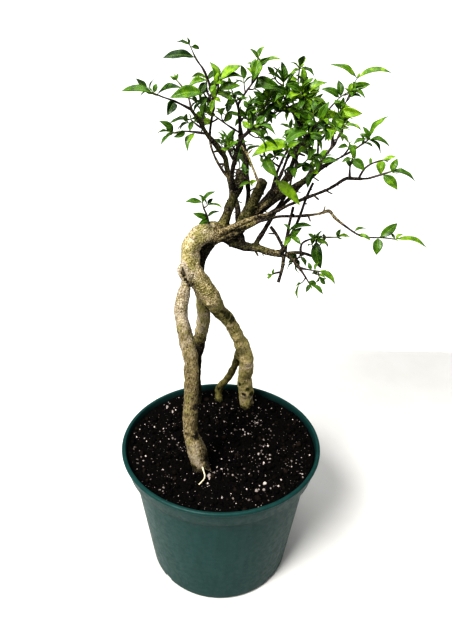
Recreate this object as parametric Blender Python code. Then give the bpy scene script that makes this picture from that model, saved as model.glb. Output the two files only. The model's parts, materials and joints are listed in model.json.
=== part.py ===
"""A Barbados cherry bonsai grown over exposed roots, standing in a round plastic nursery pot.

Run it with: blender --background --python part.py
The origin is at the centre of the pot's foot, +Z is up and -Y is the front. Every length
below is in millimetres, and MM turns it into Blender's metres when a mesh is made.
"""

import math
import random

import bpy
from mathutils import Quaternion, Vector
from mathutils.bvhtree import BVHTree

MM = 0.001

# Pot: an 8 inch azalea pot with a stepped rim band and a rolled lip
POT_HEIGHT = 152.0
LIP_RADIUS = 103.0
LIP_HEIGHT = 4.0
LIP_WIDTH = 4.4
LIP_DISH = 2.0
LIP_ROUND = 1.2
EDGE_ROUND = 0.8
STEP_DEPTH = 3.0
BAND_HEIGHT = 20.0
BAND_TOP_RADIUS = 100.4
BAND_FOOT_RADIUS = 98.0
BODY_TOP_RADIUS = 92.4
BODY_FOOT_RADIUS = 76.8
FOOT_CORNER = 5.0
WALL = 1.9
FLOOR = 2.4
POT_SEGMENTS = 36
INNER_EASE = 1.5
DRAIN_COUNT = 4
DRAIN_SIDES = 8
DRAIN_RADIUS = 6.0
DRAIN_CIRCLE = 72.5
DRAIN_HEIGHT = 6.0

# Soil: a crumbly plug that fills the pot to just below the lip
SOIL_LEVEL = 143.5
SOIL_RELIEF = 1.3
SOIL_WAVES = (6.1, 7.3, 11.0)
SOIL_RINGS = 4
CLEARANCE = 0.3
HOLE_MARGIN = 1.0
HOLE_SIDES = 14

# Wood: each buried root end is a plain peg in a plain hole in the soil
PEG_FOOT = 118.0
PEG_TOP = 141.0
PEG_RADII = {"trunk": 7.2, "front_root": 7.4, "middle_root": 5.2, "back_root": 4.6}
RING_STEP = 12.0
FLUTE_DEPTH = 0.05

# Shoots and leaves
TWIG_RADIUS = 1.05
TWIG_TIP_RADIUS = 0.7
TWIG_SIDES = 4
TWIG_STEP = 12.0
TWIG_LEAD = 2.0
TWIG_ENDS = (1.6, 0.9)
STUB_LENGTHS = (3.0, 4.5, 6.0, 8.0)
LEAF_GAP = 0.5
LEAF_THICKNESS = 1.2
LEAF_FOLD = 0.3
LEAF_ARCH = 0.1
LEAF_ASPECT = 0.42
LEAF_LARGE = 13.0
LARGE_STATIONS = ((0.34, 1.0), (0.68, 0.8))
SMALL_STATIONS = ((0.45, 1.0),)
LEAF_CLEAR_FROM = 0.25
LEAF_SEED = 40
PAIRS_FROM = 0.4
PAIR_SPREAD = (50, 66)
LAST_PAIR_SPREAD = (34, 48)
PAIR_LIFT = 0.9

BARK_COLOUR = (0.33, 0.25, 0.13)
LEAF_COLOUR = (0.10, 0.27, 0.03)
POT_COLOUR = (0.02, 0.13, 0.09)
SOIL_COLOUR = (0.018, 0.013, 0.010)

# Centre lines of the woody parts, each point as (x, y, z, radius). The trunk snakes from the
# crown over to the left and down to its own root, and three more roots prop it up.
LIMBS = {
    "trunk": [
        (12, 13, 370, 6.0), (1, 12, 370, 7.4), (-10, 11, 371, 8.9), (-21, 9, 369, 9.0),
        (-29, 6, 361, 8.6), (-30, 4, 350, 8.4), (-29, 3, 339, 8.6), (-22, 7, 325, 8.9),
        (-13, 14, 309, 9.5), (-6, 21, 293, 7.3), (6, 31, 273, 6.2), (15, 43, 250, 6.5),
        (23, 52, 228, 7.8), (26, 59, 206, 8.3), (25, 65, 182, 7.7), (28, 69, 158, 8.4),
    ],
    "front_root": [
        (-29, 2, 341, 5.0), (-33, -1, 331, 4.8), (-36, -5, 319, 5.4), (-38, -11, 306, 5.9),
        (-36, -16, 293, 6.1), (-33, -19, 281, 6.3), (-29, -23, 266, 6.7), (-28, -27, 246, 6.9),
        (-29, -30, 224, 6.8), (-30, -33, 199, 6.8), (-28, -35, 182, 7.6), (-24, -36, 168, 9.4),
        (-21, -36, 156, 9.0),
    ],
    "middle_root": [
        (-7, 15, 368, 4.8), (-14, 16, 358, 4.6), (-20, 17, 347, 4.4), (-23, 20, 332, 4.7),
        (-22, 22, 314, 5.6), (-20, 25, 292, 6.4), (-20, 28, 274, 6.6), (-22, 34, 258, 6.4),
        (-26, 42, 239, 6.0), (-29, 53, 214, 5.4), (-30, 66, 186, 5.0), (-30, 74, 160, 5.6),
    ],
    "back_root": [
        (19, 46, 242, 3.2), (16, 57, 221, 3.4), (13, 66, 199, 3.8), (5, 74, 177, 4.0),
        (-4, 80, 160, 4.6),
    ],
    "left_limb": [
        (-2, 12, 376, 4.9), (3, 12, 391, 4.2), (7, 12, 404, 3.8), (4, 11, 417, 2.8), (1, 10, 426, 2.2),
        (-1, 8, 435, 2.2), (-8, 3, 445, 2.2), (-15, 1, 453, 1.8), (-21, -1, 463, 1.6),
        (-28, -3, 472, 1.3),
    ],
    "left_fork": [
        (4, 8, 417, 1.4), (-2, 6, 424, 1.2), (-8, 3, 434, 1.0), (-12, 2, 444, 0.9), (-13, 2, 452, 1.0),
        (-12, 0, 462, 1.0), (-10, -2, 473, 0.9), (-10, -4, 479, 0.8),
    ],
    "front_stump": [(12, 10, 374, 5.8), (20, 8, 391, 4.9), (26, 6, 404, 4.5), (31, 2, 418, 4.2)],
    "stump_twig": [(28, 2, 413, 1.0), (26, 0, 419, 1.0), (22, 2, 428, 0.9), (17, 6, 438, 0.9), (9, 13, 448, 0.8)],
    "middle_limb": [
        (13, 18, 377, 4.1), (19, 20, 391, 2.5), (20, 24, 404, 2.1), (18, 27, 418, 2.2),
        (17, 29, 432, 2.3), (13, 31, 446, 2.4), (11, 31, 459, 1.4), (9, 30, 476, 1.0),
    ],
    "middle_prop": [(5, 13, 417, 1.5), (7, 18, 428, 1.5), (10, 30, 444, 1.3)],
    "dark_stump": [(6, 12, 399, 3.2), (10, 13, 407, 4.1), (12, 14, 415, 4.3), (13, 16, 424, 4.2)],
    "middle_fork": [(12, 31, 447, 1.7), (19, 35, 452, 1.4), (27, 39, 456, 1.3), (35, 44, 460, 1.0)],
    "long_limb": [
        (-10, 10, 367, 3.0), (-1, 4, 374, 2.8), (11, -3, 382, 2.4), (26, -8, 390, 2.0),
        (39, -12, 395, 1.6), (53, -15, 403, 1.4), (67, -18, 410, 1.4), (81, -21, 417, 1.3),
        (92, -23, 425, 1.5), (96, -25, 426, 1.5), (104, -26, 426, 1.1), (113, -27, 427, 0.9),
    ],
    "under_limb": [
        (-11, 12, 360, 2.7), (-2, 6, 367, 2.5), (7, 3, 372, 2.3), (17, 4, 377, 2.3), (28, 8, 382, 2.2),
        (39, 15, 387, 2.1), (52, 25, 394, 1.8), (64, 37, 403, 1.5), (74, 48, 414, 1.5),
        (82, 56, 426, 1.3), (83, 60, 439, 1.1), (82, 63, 449, 1.0),
    ],
    "low_limb": [
        (0, 13, 369, 5.5), (8, 12, 362, 4.9), (17, 11, 359, 4.2), (30, 8, 358, 3.5),
        (40, 4, 356, 3.3), (52, 0, 356, 3.2),
    ],
    "crown_web": [(10, 10, 373, 3.4), (14, 10, 367, 3.6), (15, 11, 360, 3.4)],
    "low_riser": [
        (27, 9, 361, 2.4), (33, 12, 370, 2.2), (39, 15, 380, 2.1), (45, 19, 390, 1.8),
        (55, 26, 406, 1.5), (58, 31, 420, 1.2),
    ],
    "low_shoot_front": [(53, 0, 358, 1.5), (53, -4, 374, 1.2), (56, -8, 399, 1.1)],
    "low_shoot_back": [(50, 1, 357, 1.6), (62, 4, 383, 1.2), (68, 6, 403, 1.1), (73, 7, 416, 1.0)],
    "low_shoot_left": [(52, 1, 359, 1.5), (46, 5, 370, 1.4), (40, 10, 377, 1.3)],
    "low_spur": [(52, -1, 356, 1.8), (51, -4, 344, 1.5), (48, -7, 332, 1.2)],
    "low_right": [(54, 0, 356, 1.8), (63, 4, 356, 1.4), (72, 7, 354, 1.2), (79, 9, 351, 1.1)],
    "low_tip": [(53, 0, 356, 1.8), (61, -5, 351, 1.4), (67, -8, 344, 1.2)],
    "thin_limb": [
        (28, 8, 382, 1.8), (45, -1, 389, 1.3), (61, -6, 391, 1.2), (77, -9, 394, 1.1),
        (85, -11, 397, 1.3), (90, -12, 392, 1.1), (97, -14, 387, 1.0),
    ],
    "right_limb": [
        (12, 16, 374, 5.0), (36, 18, 394, 3.4), (49, 18, 403, 2.9), (62, 17, 412, 2.8),
        (71, 15, 419, 2.8), (78, 14, 426, 2.3), (86, 13, 431, 1.3), (97, 10, 438, 0.9),
    ],
    "right_fork": [(76, 14, 424, 1.6), (80, 15, 432, 1.2), (84, 16, 439, 1.1), (90, 18, 446, 1.0)],
    "brown_stub": [
        (25, 10, 389, 2.9), (36, 8, 399, 2.5), (46, 5, 412, 2.2), (53, 2, 422, 2.2), (57, -1, 431, 1.9),
        (54, -3, 439, 1.1), (50, -5, 446, 0.9),
    ],
    "thin_upright": [(37, 8, 400, 1.5), (41, -3, 424, 1.1), (46, -9, 440, 1.0)],
    "high_limb": [
        (32, 20, 393, 2.5), (45, 30, 405, 2.1), (55, 35, 419, 1.9), (60, 38, 433, 1.8),
        (63, 40, 447, 1.8), (67, 41, 460, 2.0),
    ],
    "high_stub": [(65, 40, 455, 2.4), (61, 40, 463, 2.6), (58, 39, 470, 2.3)],
    "back_left_limb": [
        (12, 20, 380, 3.2), (11, 42, 387, 2.4), (7, 60, 398, 2.0), (1, 76, 409, 1.6), (-2, 88, 423, 1.4),
    ],
    "back_right_limb": [
        (24, 20, 385, 3.0), (37, 42, 395, 2.3), (47, 58, 404, 1.9), (54, 71, 416, 1.6),
        (59, 81, 427, 1.4), (64, 90, 440, 1.2),
    ],
    "front_left_limb": [(6, 10, 410, 2.0), (5, -14, 427, 1.6), (8, -34, 445, 1.4), (12, -50, 458, 1.2)],
    "front_right_limb": [(50, 3, 417, 2.0), (52, -22, 438, 1.6), (57, -40, 454, 1.4), (59, -52, 464, 1.2)],
    "trunk_knob": [(-34, 1, 345, 2.4), (-39, -2, 342, 2.2), (-38.2, -4, 336.5, 2.0), (-35.5, -5, 331, 1.6)],
    "front_flare": [(-22, -37, 162, 7.0), (-14, -41, 151, 3.4), (-10, -43, 146.6, 1.6)],
    "main_flare": [(28, 69, 161, 6.0), (33, 68, 151, 3.4), (37, 68, 147.2, 1.8)],
    "feeder_root": [
        (-20, -38, 156, 1.0), (-17, -45, 150, 0.9), (-15, -53, 146.9, 0.8), (-20, -62, 146.6, 0.7),
    ],
}
LIMB_SIDES = {"trunk": 11, "front_root": 10, "middle_root": 8, "back_root": 7}

# Leafy shoots: the limb, the shoot's points (x, y, z), its large leaves, and the pairs of smaller
# ones that fill it. A large leaf is how far along the shoot it grows, its tip (x, y, z), its width
# and its roll about its own length in degrees. The fill is its pairs, the longest leaf, and how far
# the first pair is turned about the shoot. Pairs then alternate by a quarter turn.
SHOOTS = {
    "left_tip": (
        "left_limb", [(-27, -3, 472), (-39, -7, 477), (-48, -10, 480), (-55, -13, 483)],
        [
            (1, -77, -16, 485, 8.9, -30), (0.99, -52, -9, 489, 3.7, 50),
            (0.88, -33, -18, 487, 8.2, 25), (0.43, -44, -15, 468, 7.5, -45),
        ],
        None,
    ),
    "left_bud": (
        "left_limb", [(-24, -1, 473), (-31, 6, 482), (-40, 12, 492)],
        [(1, -44, 10, 494, 2, -90), (0.95, -38, 13, 496, 2.1, 15)],
        None,
    ),
    "left_high": (
        "left_fork", [(-12, -6, 479), (-14, -9, 492), (-18, -12, 500), (-22, -15, 505), (-27, -18, 515)],
        [
            (0.76, -45, -23, 506, 9.4, -35), (1, -35, -22, 516, 3.6, -40),
            (0.94, -20, -13, 512, 3, 75), (0.36, -26, -13, 494, 4.8, -30),
        ],
        None,
    ),
    "left_broad": (
        "left_fork", [(-11, -5, 474), (-15, -12, 480), (-17, -18, 484)],
        [(0.98, -41, -23, 481, 9.5, -55), (0.68, -19, -18, 474, 5.2, -45)],
        None,
    ),
    "left_bright": (
        "left_fork", [(-11, -6, 478), (-7, -13, 484), (-6, -20, 492)],
        [
            (0.77, -10, -13, 499, 4.7, -20), (1, -12, -18, 504, 5.4, -50), (1, 12, -16, 495, 7.5, 20),
            (0.97, 10, -12, 503, 8.4, 30), (0.59, 10, -18, 489, 7, 50), (0.41, 5, -20, 479, 6.2, 35),
        ],
        None,
    ),
    "left_back": (
        "left_fork", [(-11, -5, 476), (-15, 4, 483), (-16, 10, 492)],
        [(1, -30, 4, 487, 6.4, -40), (0.91, -21, 1, 479, 6.2, -45), (1, -5, 16, 499, 5.7, 30)],
        (1, 18, 20),
    ),
    "left_inner": (
        "left_limb", [(-18, 2, 459), (-19, 8, 466), (-20, 12, 472)],
        [(0.76, -12, 14, 472, 4.7, 75), (0.5, -24, 12, 468, 3.9, -65), (0.34, -11, 2, 461, 5.4, 75)],
        (1, 15, 70),
    ),
    "left_low": (
        "left_limb", [(-15, 3, 454), (-24, -3, 455), (-33, -8, 456), (-41, -12, 455)],
        [
            (0.99, -50, -16, 464, 5.5, -65), (1, -50, -16, 447, 5.1, -10),
            (0.63, -40, -13, 452, 4.6, -75), (0.34, -30, -11, 442, 6.7, 0),
            (0.51, -26, -1, 463, 3.9, 30),
        ],
        None,
    ),
    "left_low_up": (
        "left_limb", [(-17, 3, 456), (-23, 8, 459), (-29, 12, 463)],
        [(1, -45, 9, 461, 6.6, -15), (0.8, -19, 14, 467, 4.8, 75)],
        None,
    ),
    "left_base": (
        "trunk", [(-13, 10, 374), (-15, 5, 386), (-18, 2, 394), (-19, 0, 400)],
        [
            (1, -33, -3, 401, 5.7, -35), (1, -9, 2, 409, 5.4, 20), (0.52, -4, 8, 390, 5, 15),
            (0.48, -27, 1, 390, 5.2, -70), (0.41, -22, -6, 383, 5.5, -20),
        ],
        None,
    ),
    "middle_top": (
        "middle_limb", [(10, 30, 474), (15, 27, 483), (23, 23, 494), (27, 20, 503), (23, 18, 508)],
        [
            (0.99, 20, 12, 492, 8.5, -25), (1, 17, 20, 514, 3.5, -30), (0.94, 28, 22, 516, 4.4, 20),
            (0.87, 32, 15, 508, 4.7, 110), (0.82, 42, 24, 508, 6.8, 15), (0.61, 42, 17, 487, 8.7, 85),
        ],
        None,
    ),
    "top_left": (
        "middle_limb", [(10, 30, 469), (7, 24, 477), (4, 18, 483)],
        [(0.98, -4, 15, 480, 3.7, -50), (0.91, 14, 24, 481, 4.2, 50), (0.61, -2, 17, 473, 4.8, -70)],
        None,
    ),
    "middle_left": (
        "middle_limb", [(12, 32, 451), (1, 24, 458), (-10, 15, 466)],
        [(1, -17, 12, 469, 4, -95), (0.61, 3, 27, 469, 5.7, 45)],
        None,
    ),
    "middle_side": (
        "middle_limb", [(11, 31, 460), (15, 38, 464), (19, 43, 470)],
        [(0.95, 14, 46, 476, 4.2, -60), (0.8, 24, 36, 463, 5.1, 65), (0.53, 10, 34, 471, 4.2, -120)],
        (2, 16, 20),
    ),
    "stump_leaf": (
        "dark_stump", [(16, 18, 418), (19, 2, 418), (20, -8, 418)],
        [(1, 11, -12, 415, 4.1, -30), (1, 25, -10, 420, 3.2, 85)],
        None,
    ),
    "fork_up": (
        "middle_fork", [(31, 41, 460), (31, 34, 468), (32, 26, 478)],
        [(1, 21, 22, 484, 5.7, -100), (0.92, 17, 24, 474, 6.2, -20), (1, 35, 31, 486, 4.9, 30)],
        (2, 18, 50),
    ),
    "fork_end": (
        "middle_fork", [(36, 44, 461), (42, 40, 468), (47, 36, 474)],
        [
            (1, 23, 30, 467, 9.5, -25), (1, 34, 40, 488, 7.8, -65), (0.79, 59, 41, 477, 6.3, 45),
            (0.4, 24, 33, 463, 7.4, -25),
        ],
        (2, 18, 15),
    ),
    "fork_back": (
        "middle_fork", [(26, 39, 457), (27, 52, 461), (31, 64, 467)],
        [],
        (3, 18, 30),
    ),
    "centre_top": (
        "high_stub", [(61, 39, 461), (53, 35, 470), (46, 30, 481), (45, 26, 491)],
        [
            (1, 43, 28, 506, 6.1, -25), (0.99, 53, 29, 497, 4.3, 20), (0.99, 36, 29, 502, 6, -15),
            (0.87, 58, 31, 491, 5.5, 55), (0.74, 36, 24, 479, 5.7, -75),
        ],
        (2, 18, 60),
    ),
    "centre_crest": (
        "high_stub", [(60, 38, 465), (53, 24, 477), (47, 14, 484)],
        [(1, 35, 10, 488, 5.5, -95), (0.92, 57, 13, 480, 5.5, 85)],
        (2, 18, 40),
    ),
    "centre_peak": (
        "high_stub", [(61, 38, 464), (63, 47, 477), (60, 53, 489), (61, 58, 502)],
        [
            (1, 66, 60, 510, 3.9, 35), (0.97, 53, 54, 497, 3.8, -30), (0.97, 74, 54, 496, 5.7, 25),
            (0.76, 52, 58, 494, 4.2, -85), (0.68, 69, 57, 495, 4.6, 50),
        ],
        None,
    ),
    "centre_bright": (
        "high_stub", [(61, 39, 463), (63, 24, 475), (58, 12, 485)],
        [
            (1, 45, 9, 490, 5.7, -80), (1, 67, 15, 495, 5.5, 25), (0.91, 77, 10, 492, 8.2, 45),
            (0.79, 57, 9, 472, 5.6, -20),
        ],
        (2, 18, 80),
    ),
    "high_end": (
        "high_limb", [(64, 40, 460), (69, 36, 470), (70, 32, 480)],
        [(1, 81, 26, 476, 5.3, 30), (0.98, 62, 35, 484, 4.1, -85), (0.69, 83, 39, 472, 5.8, 60)],
        (2, 17, 30),
    ),
    "high_back": (
        "high_limb", [(64, 40, 457), (72, 57, 461), (78, 71, 470)],
        [],
        (3, 18, 45),
    ),
    "high_out": (
        "high_limb", [(63, 39, 452), (67, 28, 460), (70, 18, 467)],
        [(1, 82, 15, 473, 7.3, 90), (0.95, 56, 15, 471, 7.3, -95), (0.58, 77, 22, 459, 5, 80)],
        (2, 18, 65),
    ),
    "centre_front": (
        "thin_upright", [(45, -10, 439), (47, -19, 445), (45, -28, 449)],
        [(0.9, 19, -34, 442, 9.5, -45), (1, 54, -34, 453, 4.6, 75), (0.79, 35, -20, 453, 5.2, -35)],
        None,
    ),
    "centre_low": (
        "thin_upright", [(43, -6, 430), (36, -18, 436), (29, -28, 442)],
        [(1, 38, -40, 429, 8.2, 45)],
        None,
    ),
    "bright_leaf": (
        "thin_upright", [(42, -4, 425), (41, -12, 424), (40, -18, 422)],
        [(0.93, 59, -27, 406, 9.5, 45)],
        None,
    ),
    "front_left_end": (
        "front_left_limb", [(13, -48, 458), (16, -58, 463), (20, -66, 467)],
        [
            (1, 33, -70, 462, 5.8, 15), (1, 26, -63, 472, 5.2, 65), (0.7, 11, -56, 468, 4, -70),
            (0.54, 24, -66, 460, 4.7, 15),
        ],
        (1, 17, 50),
    ),
    "front_left_side": (
        "front_left_limb", [(6, -24, 439), (2, -34, 446), (2, -40, 449)],
        [(1, 9, -44, 454, 3.8, 60), (0.81, -3, -40, 450, 2.6, -65)],
        None,
    ),
    "front_right_end": (
        "front_right_limb", [(58, -52, 462), (60, -58, 466), (62, -63, 470)],
        [(0.95, 69, -60, 474, 4, 70), (0.76, 66, -66, 465, 4, 70), (0.62, 54, -55, 469, 4, -80)],
        (2, 16, 20),
    ),
    "front_right_up": (
        "front_right_limb", [(55, -42, 456), (55, -52, 459), (57, -58, 462)],
        [(0.98, 39, -66, 456, 8.2, -30), (0.92, 66, -63, 459, 4.8, 80)],
        (1, 16, 70),
    ),
    "front_right_low": (
        "front_right_limb", [(55, -30, 448), (57, -42, 450), (59, -50, 452)],
        [(0.98, 58, -58, 444, 4.6, -20), (0.74, 50, -53, 448, 4.6, -20)],
        None,
    ),
    "round_leaf": (
        "brown_stub", [(51, -5, 430), (56, -13, 431), (59, -19, 434)],
        [(0.98, 67, -27, 434, 6.9, 80)],
        None,
    ),
    "right_end": (
        "right_limb", [(96, 10, 437), (99, 6, 444), (98, 2, 449)],
        [(0.96, 103, -4, 437, 5.6, 20), (0.66, 89, 1, 445, 4.3, -40), (0.46, 107, 11, 445, 4, 70)],
        None,
    ),
    "right_whorl": (
        "right_limb", [(95, 11, 436), (104, 18, 440), (113, 23, 445), (120, 27, 449)],
        [
            (1, 106, 22, 446, 6.1, -10), (1, 112, 30, 453, 3.8, -35), (1, 111, 31, 458, 5.3, -40),
            (1, 134, 32, 467, 9.3, -5), (1, 137, 23, 445, 7.2, 15), (1, 130, 21, 439, 6.1, 10),
        ],
        None,
    ),
    "right_fork_end": (
        "right_fork", [(92, 18, 447), (94, 20, 456), (98, 22, 461)],
        [(0.98, 110, 18, 457, 5.3, 20), (0.96, 89, 25, 464, 4.9, -85), (0.47, 100, 15, 448, 4, 20)],
        None,
    ),
    "right_fork_side": (
        "right_fork", [(91, 17, 444), (85, 8, 452), (82, -1, 460)],
        [(0.98, 81, -9, 452, 7, 5), (1, 89, -5, 457, 3.4, 30), (1, 75, -5, 458, 4.7, -70)],
        None,
    ),
    "right_fan": (
        "right_fork", [(88, 16, 442), (90, 30, 452), (93, 38, 462), (97, 44, 471)],
        [
            (0.97, 114, 37, 468, 7.6, 85), (1, 91, 47, 478, 5.1, -75), (0.93, 106, 48, 473, 4.9, 25),
            (0.81, 84, 37, 470, 5.9, -100), (0.73, 105, 41, 465, 5.1, 75),
        ],
        (1, 18, 60),
    ),
    "right_high": (
        "high_limb", [(63, 39, 443), (75, 46, 454), (88, 55, 469), (99, 60, 480), (107, 62, 484)],
        [
            (0.99, 120, 57, 480, 5.9, 25), (0.98, 108, 66, 491, 4.4, 15),
            (0.85, 96, 64, 493, 6.1, -40), (0.83, 81, 57, 486, 7.4, -60),
            (0.72, 103, 52, 474, 5.2, 85), (0.61, 79, 60, 477, 5.2, -75),
        ],
        (2, 17, 45),
    ),
    "right_peak": (
        "under_limb", [(91, 58, 442), (98, 64, 461), (107, 68, 479), (111, 70, 490), (114, 71, 495)],
        [
            (1, 89, 67, 506, 9.5, -35), (1, 141, 66, 501, 9.5, 25), (0.9, 124, 64, 490, 6.2, 90),
            (0.72, 115, 72, 485, 4.4, 65),
        ],
        None,
    ),
    "right_leaf": (
        "right_limb", [(77, 14, 423), (75, 3, 429), (76, -4, 434)],
        [(0.98, 88, -9, 437, 5.4, 55), (0.88, 68, 1, 437, 4, -75)],
        None,
    ),
    "long_up": (
        "long_limb", [(95, -25, 427), (94, -27, 435), (95, -29, 442)],
        [
            (0.93, 103, -36, 434, 6.7, 65), (0.98, 86, -33, 439, 4.1, -15),
            (0.5, 90, -23, 441, 3.4, -35), (0.67, 99, -24, 439, 2.5, 35),
        ],
        None,
    ),
    "long_side": (
        "long_limb", [(102, -26, 427), (106, -23, 433), (113, -20, 437), (122, -17, 439)],
        [
            (0.98, 130, -19, 442, 3.7, 50), (0.94, 119, -23, 429, 7, 0),
            (0.51, 111, -18, 441, 2.5, 15),
        ],
        None,
    ),
    "long_tip": (
        "long_limb", [(109, -27, 428), (118, -29, 430), (125, -31, 433)],
        [
            (1, 142, -36, 428, 7.4, 10), (0.95, 128, -29, 442, 5.3, 45),
            (0.59, 130, -35, 420, 6.8, 75),
        ],
        None,
    ),
    "thin_tip": (
        "thin_limb", [(101, -14, 384), (110, -15, 379), (120, -16, 377), (131, -16, 377), (142, -17, 376)],
        [
            (0.99, 167, -21, 372, 9.5, 10), (0.97, 137, -15, 381, 2.6, -35),
            (0.99, 148, -14, 380, 3.3, 10), (0.7, 142, -13, 389, 7.4, 55),
            (0.68, 126, -22, 364, 8.3, -5), (0.24, 117, -12, 384, 3.6, 15),
            (0.33, 120, -20, 375, 3.5, 50),
        ],
        None,
    ),
    "low_hang": (
        "low_right", [(78, 8, 352), (80, 9, 359), (81, 10, 367)],
        [(0.95, 86, 2, 342, 9.7, 40), (1, 90, 5, 365, 4.4, 70), (1, 86, 13, 374, 3.6, -5)],
        None,
    ),
    "low_thin": (
        "low_right", [(68, 5, 356), (68, 8, 363), (80, 12, 367), (101, 16, 367)],
        [(1, 103, 18, 374, 3.6, 30), (1, 111, 13, 369, 4.3, 25), (0.49, 74, 16, 370, 3.1, -35)],
        None,
    ),
    "low_out": (
        "low_tip", [(65, -6, 345), (75, -4, 343), (85, -2, 341)],
        [(0.98, 98, -8, 332, 6.9, 25), (0.58, 74, -1, 349, 3.5, -50), (0.75, 83, 0, 349, 3.3, -5)],
        None,
    ),
    "low_tip_leaves": (
        "low_tip", [(69, -8, 342), (72, -9, 337), (76, -10, 331)],
        [
            (0.97, 72, -14, 326, 3.5, -30), (0.97, 87, -15, 325, 5.5, 15),
            (0.75, 82, -7, 331, 4.4, 75),
        ],
        None,
    ),
    "low_curl": (
        "low_spur", [(50, -5, 341), (45, -8, 341), (41, -10, 340)],
        [(1, 37, -13, 338, 2.2, -50), (0.89, 43, -8, 345, 2.2, 25)],
        None,
    ),
    "low_side": (
        "low_right", [(69, 5, 355), (67, 12, 349), (66, 18, 345)],
        [(1, 67, 12, 338, 5.5, 20), (0.83, 59, 19, 350, 5.5, -65)],
        None,
    ),
    "low_leaf": (
        "low_shoot_front", [(54, -3, 369), (54, -8, 376), (54, -12, 381)],
        [(0.98, 71, -17, 387, 7.5, 20), (0.89, 49, -8, 385, 3.1, -25)],
        None,
    ),
    "back_left_end": (
        "back_left_limb", [(-4, 84, 427), (-1, 91, 431), (2, 96, 436)],
        [],
        (3, 18, 40),
    ),
    "back_left_side": (
        "back_left_limb", [(5, 66, 419), (11, 76, 423), (17, 85, 428)],
        [],
        (3, 20, 10),
    ),
    "back_right_end": (
        "back_right_limb", [(61, 90, 442), (65, 96, 450), (68, 100, 457)],
        [],
        (3, 20, 30),
    ),
    "back_right_side": (
        "back_right_limb", [(52, 78, 425), (63, 88, 427), (74, 95, 431)],
        [],
        (3, 20, 60),
    ),
}


# Geometry of routes


def curved(a, b, c, d, t):
    """One number on its way from b to c, on a smooth curve that also heeds a and d."""
    bend = 2 * a - 5 * b + 4 * c - d
    twist = 3 * b - a - 3 * c + d
    return 0.5 * (2 * b + (c - a) * t + bend * t**2 + twist * t**3)


def smooth_route(points, step):
    """Points about step apart on a smooth curve through the given ones, with as many numbers each."""
    ends = [points[0], *points, points[-1]]
    route = []
    for i in range(len(points) - 1):
        p0, p1, p2, p3 = ends[i : i + 4]
        span = math.dist(p1[:3], p2[:3])
        count = max(1, round(span / step))
        for k in range(count):
            route.append(tuple(curved(*four, k / count) for four in zip(p0, p1, p2, p3)))
    return [*route, tuple(points[-1])]


def tangents(centres):
    """Unit directions along a line of points, one for each point."""
    last = len(centres) - 1
    found = []
    for i in range(len(centres)):
        ahead = centres[min(i + 1, last)] - centres[max(i - 1, 0)]
        found.append(ahead.normalized())
    return found


def across(direction):
    """A unit vector square to a direction, level where it can be."""
    side = direction.cross(Vector((0, 0, 1)))
    if side.length < 0.2:
        side = direction.cross(Vector((0, 1, 0)))
    return side.normalized()


def tube(route, sides, flutes=0.0):
    """A closed tube along a route of (x, y, z, radius), as points and faces. Flutes are shallow ridges."""
    centres = [Vector(p[:3]) for p in route]
    along = tangents(centres)
    side = across(along[0])
    points, faces = [], []
    for i, (centre, direction) in enumerate(zip(centres, along)):
        side = (side - direction * side.dot(direction)).normalized()
        other = direction.cross(side)
        for k in range(sides):
            angle = 2 * math.pi * k / sides
            wave = math.sin(3 * angle + 0.7 * i) + 0.8 * math.sin(2 * angle - 1.3 * i)
            radius = route[i][3] * (1 + flutes * wave)
            points.append(centre + radius * (math.cos(angle) * side + math.sin(angle) * other))
    for i in range(len(centres) - 1):
        for k in range(sides):
            a, b = i * sides + k, i * sides + (k + 1) % sides
            faces.append((a, b, b + sides, a + sides))
    faces.append(tuple(reversed(range(sides))))
    faces.append(tuple(range(len(points) - sides, len(points))))
    return points, faces


# Growth: where every shoot and leaf goes


def limb_route(name):
    points = list(LIMBS[name])
    if name in PEG_RADII:
        x, y = points[-1][:2]
        points += [(x, y, z, PEG_RADII[name]) for z in (PEG_TOP, PEG_FOOT)]
    return smooth_route(points, RING_STEP)


def limb_sides(name):
    widest = max(p[3] for p in LIMBS[name])
    return LIMB_SIDES.get(name, 7 if widest > 4 else 5 if widest > 2.3 else 4)


def nearest_on(route, point):
    """The point of a route of straight runs nearest to the given one, and the route's radius there."""
    best = None
    for a, b in zip(route, route[1:]):
        start, run = Vector(a[:3]), Vector(b[:3]) - Vector(a[:3])
        t = max(0.0, min(1.0, (Vector(point) - start).dot(run) / run.length_squared))
        place = start + run * t
        gap = (place - Vector(point)).length
        if best is None or gap < best[0]:
            best = (gap, place, a[3] + (b[3] - a[3]) * t)
    return best[1], best[2]


def along_route(centres, distance):
    """The place and the direction at a distance along a line of points."""
    for a, b in zip(centres, centres[1:]):
        run = b - a
        if distance <= run.length or b is centres[-1]:
            return a + run.normalized() * distance, run.normalized()
        distance -= run.length


def route_length(centres):
    return sum((b - a).length for a, b in zip(centres, centres[1:]))


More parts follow.
